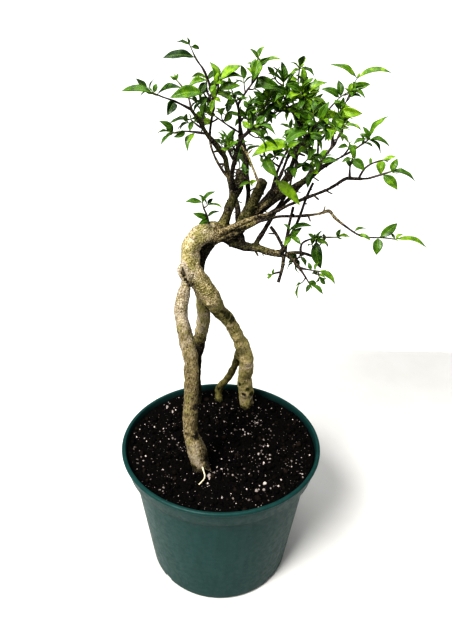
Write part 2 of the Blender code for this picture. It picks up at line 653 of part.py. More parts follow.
def shoot_lines(name, swing, stub_length):
    """The shoot's centre line, its stub on the limb and its own twig. Swing moves its tip aside."""
    limb, points = SHOOTS[name][:2]
    start, limb_radius = nearest_on(limb_route(limb), points[0])
    reach = len(points) - 1
    swung = [start] + [Vector(p) + Vector(swing) * (i + 1) / reach for i, p in enumerate(points[1:])]
    centres = [Vector(p) for p in smooth_route([tuple(p) for p in swung], TWIG_STEP / 3)]
    cut, direction = along_route(centres, limb_radius + stub_length)
    total = route_length(centres)
    places = [cut + direction * CLEARANCE, cut + direction * (CLEARANCE + TWIG_LEAD)]
    passed = limb_radius + stub_length + CLEARANCE + TWIG_LEAD
    steps = max(1, round((total - passed) / TWIG_STEP))
    places += [along_route(centres, passed + (total - passed) * k / steps)[0] for k in range(1, steps + 1)]
    length = route_length(places)
    done, twig = 0.0, []
    for i, place in enumerate(places):
        done += (place - places[i - 1]).length if i else 0.0
        twig.append((*place, TWIG_RADIUS + (TWIG_TIP_RADIUS - TWIG_RADIUS) * done / length))
    stub = [(*start, TWIG_RADIUS), (*cut, TWIG_RADIUS)]
    return centres, stub, twig


def blade(leaf, extra=0.0, start=0.0):
    """A leaf's closed thin solid: a narrow root, widest past the middle, folded along its rib and
    arched. It grows by extra on every side, to test for room, and can begin part of the way along."""
    base, tip, up, width, arch = leaf
    run = tip - base
    length = run.length
    side = run.cross(up).normalized()
    rib = up * (LEAF_THICKNESS / 2 + extra)
    stations = LARGE_STATIONS if length > LEAF_LARGE else SMALL_STATIONS

    def centre(t):
        return base + run * t + up * (4 * arch * length * t * (1 - t))

    points = [centre(start) + rib, centre(start) - rib]
    for t, share in stations:
        half = width / 2 * share + extra
        raised = centre(t) + up * (LEAF_FOLD * half)
        points += [raised - side * half, centre(t) + rib, raised + side * half, centre(t) - rib]
    points.append(tip + run.normalized() * extra)
    left, top, right, under = 2, 3, 4, 5
    faces = [(0, top, left), (0, left, 1), (1, left, under)]
    faces += [(0, right, top), (0, 1, right), (1, under, right)]
    for _ in stations[1:]:
        faces += [(left, top, top + 4), (left, top + 4, left + 4)]
        faces += [(left, under + 4, under), (left, left + 4, under + 4)]
        faces += [(right, top + 4, top), (right, right + 4, top + 4)]
        faces += [(right, under, under + 4), (right, under + 4, right + 4)]
        left, top, right, under = left + 4, top + 4, right + 4, under + 4
    end = len(points) - 1
    faces += [(left, top, end), (top, right, end), (right, under, end), (under, left, end)]
    return points, faces


def upright(along):
    """The direction square to a leaf's length that is nearest to straight up."""
    up = Vector((0, 0, 1)) - along * along.z
    return up.normalized() if up.length > 0.1 else across(along)


def leaf_root(centres, distance):
    """The place and the direction where a leaf leaves its twig, kept a little inside the twig's ends."""
    near, far = TWIG_ENDS
    return along_route(centres, max(near, min(route_length(centres) - far, distance)))


def spot_on(twig, place):
    """The point on a twig nearest to a place, where a leaf can grow."""
    centres = [Vector(p[:3]) for p in twig]
    found = nearest_on(twig, place)[0]
    done = 0.0
    for a, b in zip(centres, centres[1:]):
        if abs((found - a).length + (b - found).length - (b - a).length) < 0.001:
            done += (found - a).length
            break
        done += (b - a).length
    return leaf_root(centres, done)[0]


def large_leaf(centres, twig, swing, entry):
    station, x, y, z, width, roll = entry
    base = spot_on(twig, along_route(centres, station * route_length(centres))[0])
    tip = Vector((x, y, z)) + Vector(swing) * station
    along = (tip - base).normalized()
    up = Quaternion(along, math.radians(roll)) @ upright(along)
    return base, tip, up, width, LEAF_ARCH


def filling_leaf(twig, station, turn, last, longest, draw):
    """One leaf of a pair, opening from its twig at an angle and held level where it can be."""
    centres = [Vector(p[:3]) for p in twig]
    base, direction = leaf_root(centres, route_length(centres) * station)
    side = across(direction)
    outward = side * math.cos(math.radians(turn)) + side.cross(direction) * math.sin(math.radians(turn))
    spread = math.radians(draw.uniform(*(LAST_PAIR_SPREAD if last else PAIR_SPREAD)))
    length = longest * draw.uniform(0.74, 1.0)
    along = (direction * math.cos(spread) + outward * math.sin(spread)).normalized()
    up = direction * math.sin(spread) - outward * math.cos(spread) + Vector((0, 0, PAIR_LIFT))
    up = (up - along * up.dot(along)).normalized()
    return base, base + along * length, up, length * LEAF_ASPECT, draw.uniform(0.04, 0.12)


def turned_leaf(leaf, yaw, pitch, roll, scale):
    base, tip, up, width, arch = leaf
    side = (tip - base).cross(up).normalized()
    spin = Quaternion(up, math.radians(yaw)) @ Quaternion(side, math.radians(pitch))
    run = spin @ (tip - base) * scale
    up = Quaternion(run.normalized(), math.radians(roll)) @ (spin @ up)
    return base, base + run, up, width * scale, arch


def leaf_tries():
    """How far a leaf may be turned and shortened to find room, the smallest changes first."""
    ways = [(0, 0, 2), (0, 0, -2), (0, 1, 0), (0, -1, 0), (1, 0, 0), (-1, 0, 0), (1, 1, 1), (-1, 1, -1),
            (1, -1, 0), (-1, -1, 0)]
    tries = [(0, 0, 0, 1.0)]
    for angle, scale in ((7, 1.0), (14, 0.96), (22, 0.9), (32, 0.84), (45, 0.76), (60, 0.7)):
        tries += [(yaw * angle, pitch * angle, roll * angle, scale) for yaw, pitch, roll in ways]
    return tries


class Room:
    """The solids placed so far, each with its owner, to keep the nodes clear of each other."""

    def __init__(self):
        self.placed = []

    def add(self, owner, solid):
        self.placed.append((owner, *self.reach(solid), BVHTree.FromPolygons(*solid)))

    def reach(self, solid):
        points = solid[0]
        centre = sum(points, Vector()) / len(points)
        return centre, max((p - centre).length for p in points)

    def is_clear(self, solid, apart_from):
        centre, radius = self.reach(solid)
        tree = BVHTree.FromPolygons(*solid)
        for owner, place, reach, tested in self.placed:
            if owner not in apart_from and (place - centre).length < radius + reach and tree.overlap(tested):
                return False
        return True


def widened(route, extra):
    return [(x, y, z, radius + extra) for x, y, z, radius in route]


def place_twig(name, room):
    """Swings a shoot aside, or lengthens its stub, until its twig is clear of the rest."""
    ways = ((0, -1, 0), (0, 1, 0), (0, 0, 1), (1, 0, 0), (-1, 0, 0), (0, 0, -1))
    swings = [(0, 0, 0)] + [tuple(reach * c for c in way) for reach in (3, 6, 9) for way in ways]
    for swing in swings:
        for stub_length in STUB_LENGTHS:
            centres, stub, twig = shoot_lines(name, swing, stub_length)
            if room.is_clear(tube(widened(twig, LEAF_GAP), TWIG_SIDES), ()):
                room.add(name + " stub", tube(stub, TWIG_SIDES))
                room.add(name + " twig", tube(twig, TWIG_SIDES))
                return swing, centres, stub, twig
    raise ValueError("no room for " + name)


def place_leaf(name, leaf, room, leaves):
    """Turns or shortens a leaf until it is clear of every other node and of its neighbours' blades."""
    for change in leaf_tries():
        tried = turned_leaf(leaf, *change)
        outer = blade(tried, LEAF_GAP, LEAF_CLEAR_FROM)
        if room.is_clear(outer, {name}) and room.is_clear(blade(tried), {name, name + " twig"}):
            room.add(name, blade(tried))
            room.add(name + " tips", blade(tried, 0.0, LEAF_CLEAR_FROM))
            leaves.append(tried)
            return
    print("left out a leaf of", name)


def grow():
    """Returns {shoot: (stub, twig, leaves)}, each clear of the wood and of the other shoots."""
    room = Room()
    for name in LIMBS:
        room.add("wood", tube(limb_route(name), limb_sides(name)))
    lines = {name: place_twig(name, room) for name in SHOOTS}
    grown = {name: (stub, twig, []) for name, (swing, centres, stub, twig) in lines.items()}
    for name, (swing, centres, stub, twig) in lines.items():
        for entry in SHOOTS[name][2]:
            place_leaf(name, large_leaf(centres, twig, swing, entry), room, grown[name][2])
    for index, (name, (stub, twig, leaves)) in enumerate(grown.items()):
        if not SHOOTS[name][3]:
            continue
        pairs, longest, turn = SHOOTS[name][3]
        draw = random.Random(LEAF_SEED + index)
        for pair in range(pairs):
            station = PAIRS_FROM + (1 - PAIRS_FROM) * pair / max(1, pairs - 1)
            for half in (0, 180):
                angle = turn + 90 * pair + half + draw.uniform(-14, 14)
                leaf = filling_leaf(twig, station, angle, pair == pairs - 1, longest, draw)
                place_leaf(name, leaf, room, leaves)
    return grown


# Making Blender objects


def clear_scene():
    for thing in list(bpy.data.objects):
        bpy.data.objects.remove(thing)


def plain_material(name, colour, roughness):
    material = bpy.data.materials.new(name)
    material.use_nodes = True
    shader = material.node_tree.nodes["Principled BSDF"]
    shader.inputs["Base Color"].default_value = (*colour, 1)
    shader.inputs["Roughness"].default_value = roughness
    shader.inputs["Metallic"].default_value = 0.0
    return material


def mesh_object(name, solid, material):
    """A scene object from points in millimetres and faces."""
    points, faces = solid
    mesh = bpy.data.meshes.new(name)
    mesh.from_pydata([Vector(p[:3]) * MM for p in points], [], faces)
    mesh.materials.append(material)
    thing = bpy.data.objects.new(name, mesh)
    bpy.context.scene.collection.objects.link(thing)
    return thing


def joined(name, solids, material):
    """One object from several closed solids, by a Boolean union that is applied."""
    first = mesh_object(name, solids[0], material)
    if len(solids) == 1:
        return first
    group = bpy.data.collections.new(name + "_parts")
    bpy.context.scene.collection.children.link(group)
    for i, solid in enumerate(solids[1:]):
        piece = mesh_object(f"{name}_{i}", solid, material)
        bpy.context.scene.collection.objects.unlink(piece)
        group.objects.link(piece)
    union = first.modifiers.new("Join", "BOOLEAN")
    union.operation = "UNION"
    union.operand_type = "COLLECTION"
    union.collection = group
    union.solver = "EXACT"
    graph = bpy.context.evaluated_depsgraph_get()
    mesh = bpy.data.meshes.new_from_object(first.evaluated_get(graph))
    first.modifiers.clear()
    first.data = mesh
    for piece in list(group.objects):
        bpy.data.objects.remove(piece)
    bpy.data.collections.remove(group)
    return first


# Pot


def outer_profile():
    """The pot's outer side as (radius, z), from the lip's top down to the middle of its foot."""
    band_foot = POT_HEIGHT - BAND_HEIGHT
    lip_foot = POT_HEIGHT - LIP_HEIGHT
    return [
        (LIP_RADIUS - LIP_WIDTH, POT_HEIGHT), (LIP_RADIUS - LIP_ROUND, POT_HEIGHT),
        (LIP_RADIUS, POT_HEIGHT - LIP_ROUND), (LIP_RADIUS, lip_foot + EDGE_ROUND),
        (BAND_TOP_RADIUS, lip_foot), (BAND_FOOT_RADIUS, band_foot),
        (BODY_TOP_RADIUS + EDGE_ROUND, band_foot - LIP_ROUND), (BODY_TOP_RADIUS, band_foot - STEP_DEPTH),
        (BODY_FOOT_RADIUS, FOOT_CORNER), (BODY_FOOT_RADIUS - 0.35 * FOOT_CORNER, 0.3 * FOOT_CORNER),
        (BODY_FOOT_RADIUS - FOOT_CORNER, 0.0), (0.0, 0.0),
    ]


def inner_profile():
    """The pot's inner side as (radius, z), from the middle of its floor up to the lip."""
    band_foot = POT_HEIGHT - BAND_HEIGHT
    return [
        (0.0, FLOOR), (BODY_FOOT_RADIUS - FOOT_CORNER, FLOOR),
        (BODY_FOOT_RADIUS - WALL, FLOOR + FOOT_CORNER),
        (BODY_TOP_RADIUS - WALL, band_foot - INNER_EASE), (BAND_FOOT_RADIUS - WALL, band_foot + INNER_EASE),
        (LIP_RADIUS - LIP_WIDTH, POT_HEIGHT - LIP_DISH),
    ]


def make_pot(material):
    """A shell turned from its outline, which is closed except along the axis, with drains cut in."""
    outside, inside = outer_profile(), inner_profile()
    outline = inside + outside
    mesh = bpy.data.meshes.new("pot")
    edges = [(i, i + 1) for i in range(len(outline) - 1)]
    mesh.from_pydata([(radius * MM, 0, z * MM) for radius, z in outline], edges, [])
    mesh.materials.append(material)
    pot = bpy.data.objects.new("pot", mesh)
    bpy.context.scene.collection.objects.link(pot)
    turn = pot.modifiers.new("Turn", "SCREW")
    turn.steps = turn.render_steps = POT_SEGMENTS
    turn.use_merge_vertices = True
    turn.merge_threshold = 0.00001
    turn.use_smooth_shade = True
    for i in range(DRAIN_COUNT):
        angle = 2 * math.pi * (i + 0.5) / DRAIN_COUNT
        place = Vector((math.cos(angle), math.sin(angle), 0)) * DRAIN_CIRCLE
        line = [(place.x, place.y, z, DRAIN_RADIUS) for z in (-DRAIN_HEIGHT, DRAIN_HEIGHT)]
        cutter = mesh_object(f"drain_cutter_{i}", tube(line, DRAIN_SIDES), material)
        cutter.hide_render = True
        cutter.display_type = "WIRE"
        cut = pot.modifiers.new(f"Drain {i}", "BOOLEAN")
        cut.operation = "DIFFERENCE"
        cut.object = cutter
        cut.solver = "EXACT"
    return pot


# Soil


def soil_height(x, y):
    """The crumbly surface's height at a place, in millimetres."""
    first, second, third = SOIL_WAVES
    lumps = math.sin(x / first + 0.8) * math.cos(y / second) + 0.6 * math.sin((x + 1.7 * y) / third)
    return SOIL_LEVEL + SOIL_RELIEF * lumps / 1.6


def make_soil(material):
    """A plug that fits inside the pot with a small gap, with a plain hole for each root."""
    walls = [(r - CLEARANCE, z + CLEARANCE) for r, z in inner_profile()[1:5]]
    edge = walls[-1][0] + 1.0
    points, faces = [Vector((0, 0, soil_height(0, 0)))], []
    rings = [(edge * (i + 1) / SOIL_RINGS, None) for i in range(SOIL_RINGS)] + walls[::-1]
    for radius, z in rings:
        for k in range(POT_SEGMENTS):
            angle = 2 * math.pi * k / POT_SEGMENTS
            x, y = radius * math.cos(angle), radius * math.sin(angle)
            points.append(Vector((x, y, soil_height(x, y) if z is None else z)))
    n = POT_SEGMENTS
    for k in range(n):
        faces.append((0, 1 + k, 1 + (k + 1) % n))
        for i in range(len(rings) - 1):
            a, b = 1 + i * n + k, 1 + i * n + (k + 1) % n
            faces.append((a, a + n, b + n, b))
    faces.append(tuple(reversed(range(len(points) - n, len(points)))))
    soil = mesh_object("soil", (points, faces), material)
    for name, radius in PEG_RADII.items():
        x, y = LIMBS[name][-1][:2]
        line = [(x, y, z, radius + HOLE_MARGIN) for z in (PEG_FOOT - CLEARANCE, POT_HEIGHT)]
        cutter = mesh_object(f"{name}_hole", tube(line, HOLE_SIDES), material)
        cutter.hide_render = True
        cutter.display_type = "WIRE"
        cut = soil.modifiers.new(f"Hole for {name}", "BOOLEAN")
        cut.operation = "DIFFERENCE"
        cut.object = cutter
        cut.solver = "EXACT"
    return soil


# Tree


def make_tree(bark, foliage):
    grown = grow()
    wood = []
    for name in LIMBS:
        flutes = FLUTE_DEPTH if name in PEG_RADII else 0.0
        wood.append(tube(limb_route(name), limb_sides(name), flutes))
    wood += [tube(stub, TWIG_SIDES) for stub, twig, leaves in grown.values()]
    joined("trunk_and_roots", wood, bark)
    for name, (stub, twig, leaves) in grown.items():
        joined("shoot_" + name, [tube(twig, TWIG_SIDES)] + [blade(leaf) for leaf in leaves], foliage)
    print("leaves:", sum(len(leaves) for stub, twig, leaves in grown.values()))


def main():
    clear_scene()
    make_pot(plain_material("green plastic", POT_COLOUR, 0.45))
    make_soil(plain_material("potting soil", SOIL_COLOUR, 0.95))
    make_tree(plain_material("bark", BARK_COLOUR, 0.85), plain_material("leaf", LEAF_COLOUR, 0.45))


main()
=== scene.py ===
"""The looks of a Barbados cherry bonsai with exposed roots in a green plastic nursery pot.

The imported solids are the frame. Each one is replaced here by a finer piece that keeps its form.
Lengths are in millimetres, with the origin at the centre of the pot's foot, and MM turns them
into metres when a mesh is made.
"""

import json
import math
import random

import bmesh
import bpy
import numpy as np
from mathutils import Matrix, Quaternion, Vector, noise
from mathutils.bvhtree import BVHTree
from mathutils.kdtree import KDTree

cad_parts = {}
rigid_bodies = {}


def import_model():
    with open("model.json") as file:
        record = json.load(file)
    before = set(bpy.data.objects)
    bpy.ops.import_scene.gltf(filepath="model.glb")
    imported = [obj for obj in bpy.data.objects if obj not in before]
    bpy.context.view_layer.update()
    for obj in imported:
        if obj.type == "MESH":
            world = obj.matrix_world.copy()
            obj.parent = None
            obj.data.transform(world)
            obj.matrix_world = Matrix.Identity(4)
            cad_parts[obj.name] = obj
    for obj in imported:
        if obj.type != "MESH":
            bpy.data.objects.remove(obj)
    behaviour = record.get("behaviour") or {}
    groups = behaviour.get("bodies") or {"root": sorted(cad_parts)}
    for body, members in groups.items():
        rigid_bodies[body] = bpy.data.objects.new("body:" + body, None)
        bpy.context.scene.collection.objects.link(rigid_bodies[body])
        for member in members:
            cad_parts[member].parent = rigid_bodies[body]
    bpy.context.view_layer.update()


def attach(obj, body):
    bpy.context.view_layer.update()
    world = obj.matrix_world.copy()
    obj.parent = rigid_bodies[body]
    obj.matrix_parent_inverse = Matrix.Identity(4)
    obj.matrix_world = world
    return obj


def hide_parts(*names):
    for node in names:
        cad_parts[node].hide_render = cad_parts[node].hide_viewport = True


MM = 0.001

# Camera: a phone held at arm's length, looking down at the tree
EYE = (2.6, -419.8, 498.6)
PITCH_DOWN = 26.38
ROLL = 1.1
LENS = 28.31

# Studio, in metres but for the table: its front and back edges and how far it reaches to each side
TABLE_ENDS = (-640.0, 460.0)
TABLE_REACH = 640.0
ROOM_LIGHT = 0.18
BACKDROP = 1.0
# Each light: its place, what it is aimed at, its size, its power and its tint
LIGHTS = {
    "window_light": ((-0.75, -0.95, 1.5), (0.0, 0.0, 0.25), 0.8, 54.0, (1.0, 0.985, 0.96)),
    "fill_light": ((1.3, -0.9, 0.9), (0.0, 0.0, 0.25), 1.2, 4.5, (0.97, 0.985, 1.0)),
    "table_light": ((0.0, 0.1, 2.0), (0.0, 0.1, 0.0), 1.4, 20.0, (1.0, 1.0, 1.0)),
}

# Pot: an 8 inch azalea pot with a stepped rim band and a rolled lip
POT_HEIGHT = 152.0
LIP_RADIUS = 103.0
LIP_HEIGHT = 4.0
LIP_WIDTH = 4.4
BAND_HEIGHT = 20.0
BAND_TOP_RADIUS = 100.4
BAND_FOOT_RADIUS = 98.0
BODY_TOP_RADIUS = 92.4
BODY_FOOT_RADIUS = 76.8
FOOT_CORNER = 5.0
WALL = 1.9
POT_SEGMENTS = 144
DRAIN_COUNT = 4
DRAIN_RADIUS = 6.0
DRAIN_CIRCLE = 72.5
DRAIN_HEIGHT = 6.0
# The band leans outwards by this much a millimetre, and its inner wall is on this side of it
BAND_SLANT = 0.12
INNER_WALL = (80.9, 81.6)

# Soil: its surface, its crumbs and its white perlite grains
SOIL_LEVEL = 143.5
SOIL_RELIEF = 1.3
SOIL_WAVES = (6.1, 7.3, 11.0)
SOIL_RADIUS = 97.2
# The soil is heaped from this far out, and by this much at the wall
EDGE_FROM = 62.0
EDGE_RISE = 3.0
SOIL_RINGS = 96
SOIL_SECTORS = 320
# Crumbs and grains: how many, the smallest, the largest and how much more common small ones are
CLUMPS = (760, 1.4, 6.0, 2.2)
PERLITE = (1050, 0.5, 2.6, 2.4)
# The buried soil's outline below its surface, as (radius, z)
SOIL_SIDES = ((96.0, 133.0), (90.2, 130.0), (74.9, 7.7), (71.8, 2.7))
# Places where perlite lies thick: (x, y, how many grains, how far they spread, the largest)
PERLITE_HEAPS = (
    (-10, -48, 9, 5, 3.6), (1, -40, 8, 6, 3.4), (-6, -43, 8, 4, 3.2), (41, 35, 8, 7, 3.2),
    (47, -20, 14, 9, 2.8), (-67, 68, 5, 8, 3.2), (-58, 56, 4, 6, 3.4), (-50, 8, 2, 3, 3.8),
    (26, 17, 5, 8, 2.8), (40, -61, 5, 7, 3.4),
)
GRAIN_SEED = 7

# Wood: buried ends, and how finely it is made
PEG_FOOT = 118.0
PEG_TOP = 141.0
PEG_RADII = {"trunk": 7.2, "front_root": 7.4, "middle_root": 5.2, "back_root": 4.6}
RING_STEP = 12.0
FINE_STEP = 1.1
VOXEL = 0.93
THIN_LIMB = 2.3
FLUTE_DEPTH = 0.05

# Dark spots on the pale bark, partly real stains and knots and partly painted shade: under the trunk's bulge,
# in the crease between the trunk and the front root, and in the crotch where the limbs leave the trunk.
# Each is a centre (x, y, z), how far it reaches and how dark it is
STAINS_AND_SHADE = (
    (2, 15, 290, 7, 0.95), (6, 19, 284, 8, 1), (11, 25, 278, 7, 0.95), (-8, 12, 288, 8, 0.7),
    (-23, -34, 216, 6, 0.9), (-22, -35, 209, 4, 0.7), (-23, -39, 187, 6, 0.95), (-16, -43, 168, 7, 0.75),
    (-15, -40, 158, 8, 0.8), (-33, 1, 325, 6, 0.6), (20, 60, 180, 4, 1), (29, 60, 173, 4, 1),
    (25, 60, 166, 3.5, 1), (-16, 12, 318, 5, 0.6), (-29, -26, 232, 5, 0.5), (-27, 2, 352, 5, 0.4),
    (33, 63, 165, 5, 0.9), (17, 38, 256, 2.5, 1), (-37.5, -5, 338, 1.8, 0.9), (-36, -5, 335.5, 2.2, 1),
    (-34, -5.5, 332.5, 2.4, 1), (-32, -6, 330, 2.6, 1), (-30.5, -6, 327, 2.8, 1), (-28, -4, 324, 3, 0.9),
    (-1, 3, 366, 3, 1), (3, 2, 369, 2.6, 1), (7, 1, 372, 2.4, 1), (12, 1, 375.5, 2.2, 1),
    (17, 2, 378.5, 2, 1), (14, 7, 359, 4, 1), (21, 6, 358.5, 4, 1), (3, 9, 361, 5, 1), (-11, -37, 161, 9, 1),
    (-12, -41, 152, 7, 1), (-28, -43, 150, 6, 0.9), (-19, -44, 172, 3, 0.8), (24, 6, 391, 4, 1),
    (29.5, 4, 400, 4, 1), (33, 2, 408, 4, 1), (34.5, 0, 416, 4, 1), (-22, -40, 184, 4, 0.9),
    (-31, -40, 189, 4, 0.8),
)
# Painted cream highlights on the pale bark, most on the lower left of the front root's bulb: a centre, how
# far it reaches and how cream it is
CREAM_HIGHLIGHTS = (
    (-25, -45, 165, 7, 0.5), (-22, -45, 158, 5, 0.4), (-27, -44, 173, 4, 0.3), (-27, 1, 352, 7, 0.12),
)
# Rings of wrinkles across a bend: a centre, how far they reach and how high they stand
WRINKLES = (
    (-22, 6, 324, 16, 0.6), (-24, -38, 164, 14, 0.5), (-24, 6, 362, 16, 0.4), (-3, 20, 296, 14, 0.45),
)
WRINKLE_PITCH = 3.2
BARK_CELL = (2.4, 2.4, 5.0)
KNOB_SIZE = 9.0
GRAIN_SIZE = 1.2
# The seed of the noise that bends the bark's cells
NOISE_SEED = 5
# Dead spurs on the limbs: how far apart they are, how far they stand out and how thick they are
SPUR_SEED = 3
SPUR_GAPS = (7, 15)
SPUR_REACHES = (0.5, 0.8, 1.2, 2.5, 5.0)
SPUR_RADII = (0.6, 1.1)
# The trunk's bend is plated from between these two heights up, and the roots below are fibrous
BEND_HEIGHTS = (285.0, 312.0)
# How dark cracks are, and how dark the painted shade is on the undersides of pale and of dark wood
CRACK_SHARE = 0.45
UNDERSIDE_SHADE = (0.5, 0.9)
# Painted shade in the crevices between limbs: how hollow a crevice is before it darkens, and how much more
# makes it black
HOLLOW_ROUNDS = 36
HOLLOW_FROM = 0.12
HOLLOW_DEPTH = 0.4
# Painted contact shade darkens the roots below this height, where they go into the soil
FOOT_SHADE_LEVEL = 148.5

# Shoots and leaves
CLEARANCE = 0.3
TWIG_RADIUS = 1.05
TWIG_TIP_RADIUS = 0.7
TWIG_SIDES = 4
TWIG_STEP = 12.0
TWIG_LEAD = 2.0
TWIG_ENDS = (1.6, 0.9)
STUB_LENGTHS = (3.0, 4.5, 6.0, 8.0)
LEAF_GAP = 0.5
LEAF_THICKNESS = 1.2
LEAF_FOLD = 0.3
LEAF_ARCH = 0.1
LEAF_ASPECT = 0.42
LEAF_LARGE = 13.0
LARGE_STATIONS = ((0.34, 1.0), (0.68, 0.8))
SMALL_STATIONS = ((0.45, 1.0),)
LEAF_CLEAR_FROM = 0.25
LEAF_SEED = 40
PAIRS_FROM = 0.4
PAIR_SPREAD = (50, 66)
LAST_PAIR_SPREAD = (34, 48)
PAIR_LIFT = 0.9
PAIR_LENGTHS = (0.74, 1.0)
PAIR_ARCHES = (0.04, 0.12)
PAIR_TURNS = (-14, 14)

# Side twigs with small leaves that fill the dense shoots out
BUSHY_SEED = 900
SIDE_TRIES = 12
SIDE_REACH = (4.0, 13.0)
SIDE_SPREAD = (35, 80)
SIDE_STATIONS = (0.1, 0.97)
SIDE_LEAVES = (8.0, 15.0)
SIDE_RADII = (0.6, 0.4)
SIDE_STEP = 1.5

# Fine leaves and twigs
LEAF_ROWS = 13
LEAF_COLUMNS = 9
LEAF_SKIN = 0.4
# How much each leaf's edge waves, and how far it twists, bows, folds and droops
LEAF_WAVES = (1.2, 2.1)
LEAF_RIPPLES = (0.06, 0.2)
LEAF_TWISTS = (-32, 32)
LEAF_BOWS = (-0.07, 0.07)
LEAF_FOLDS = (0.8, 2.0)
LEAF_DROOPS = (0.0, 0.1)
PETIOLE_SHARE = 0.07
FINE_TWIG_SIDES = 8
FINE_TWIG_RADII = (0.95, 0.5)
BUD_LENGTHS = (3.0, 5.5)
# How much leaves of one shoot differ in tint, and how much brighter small and bud leaves are
TINT_SPREAD = 0.17
SMALL_LEAF_TINT = 0.12
BUD_TINTS = (0.2, 0.5)
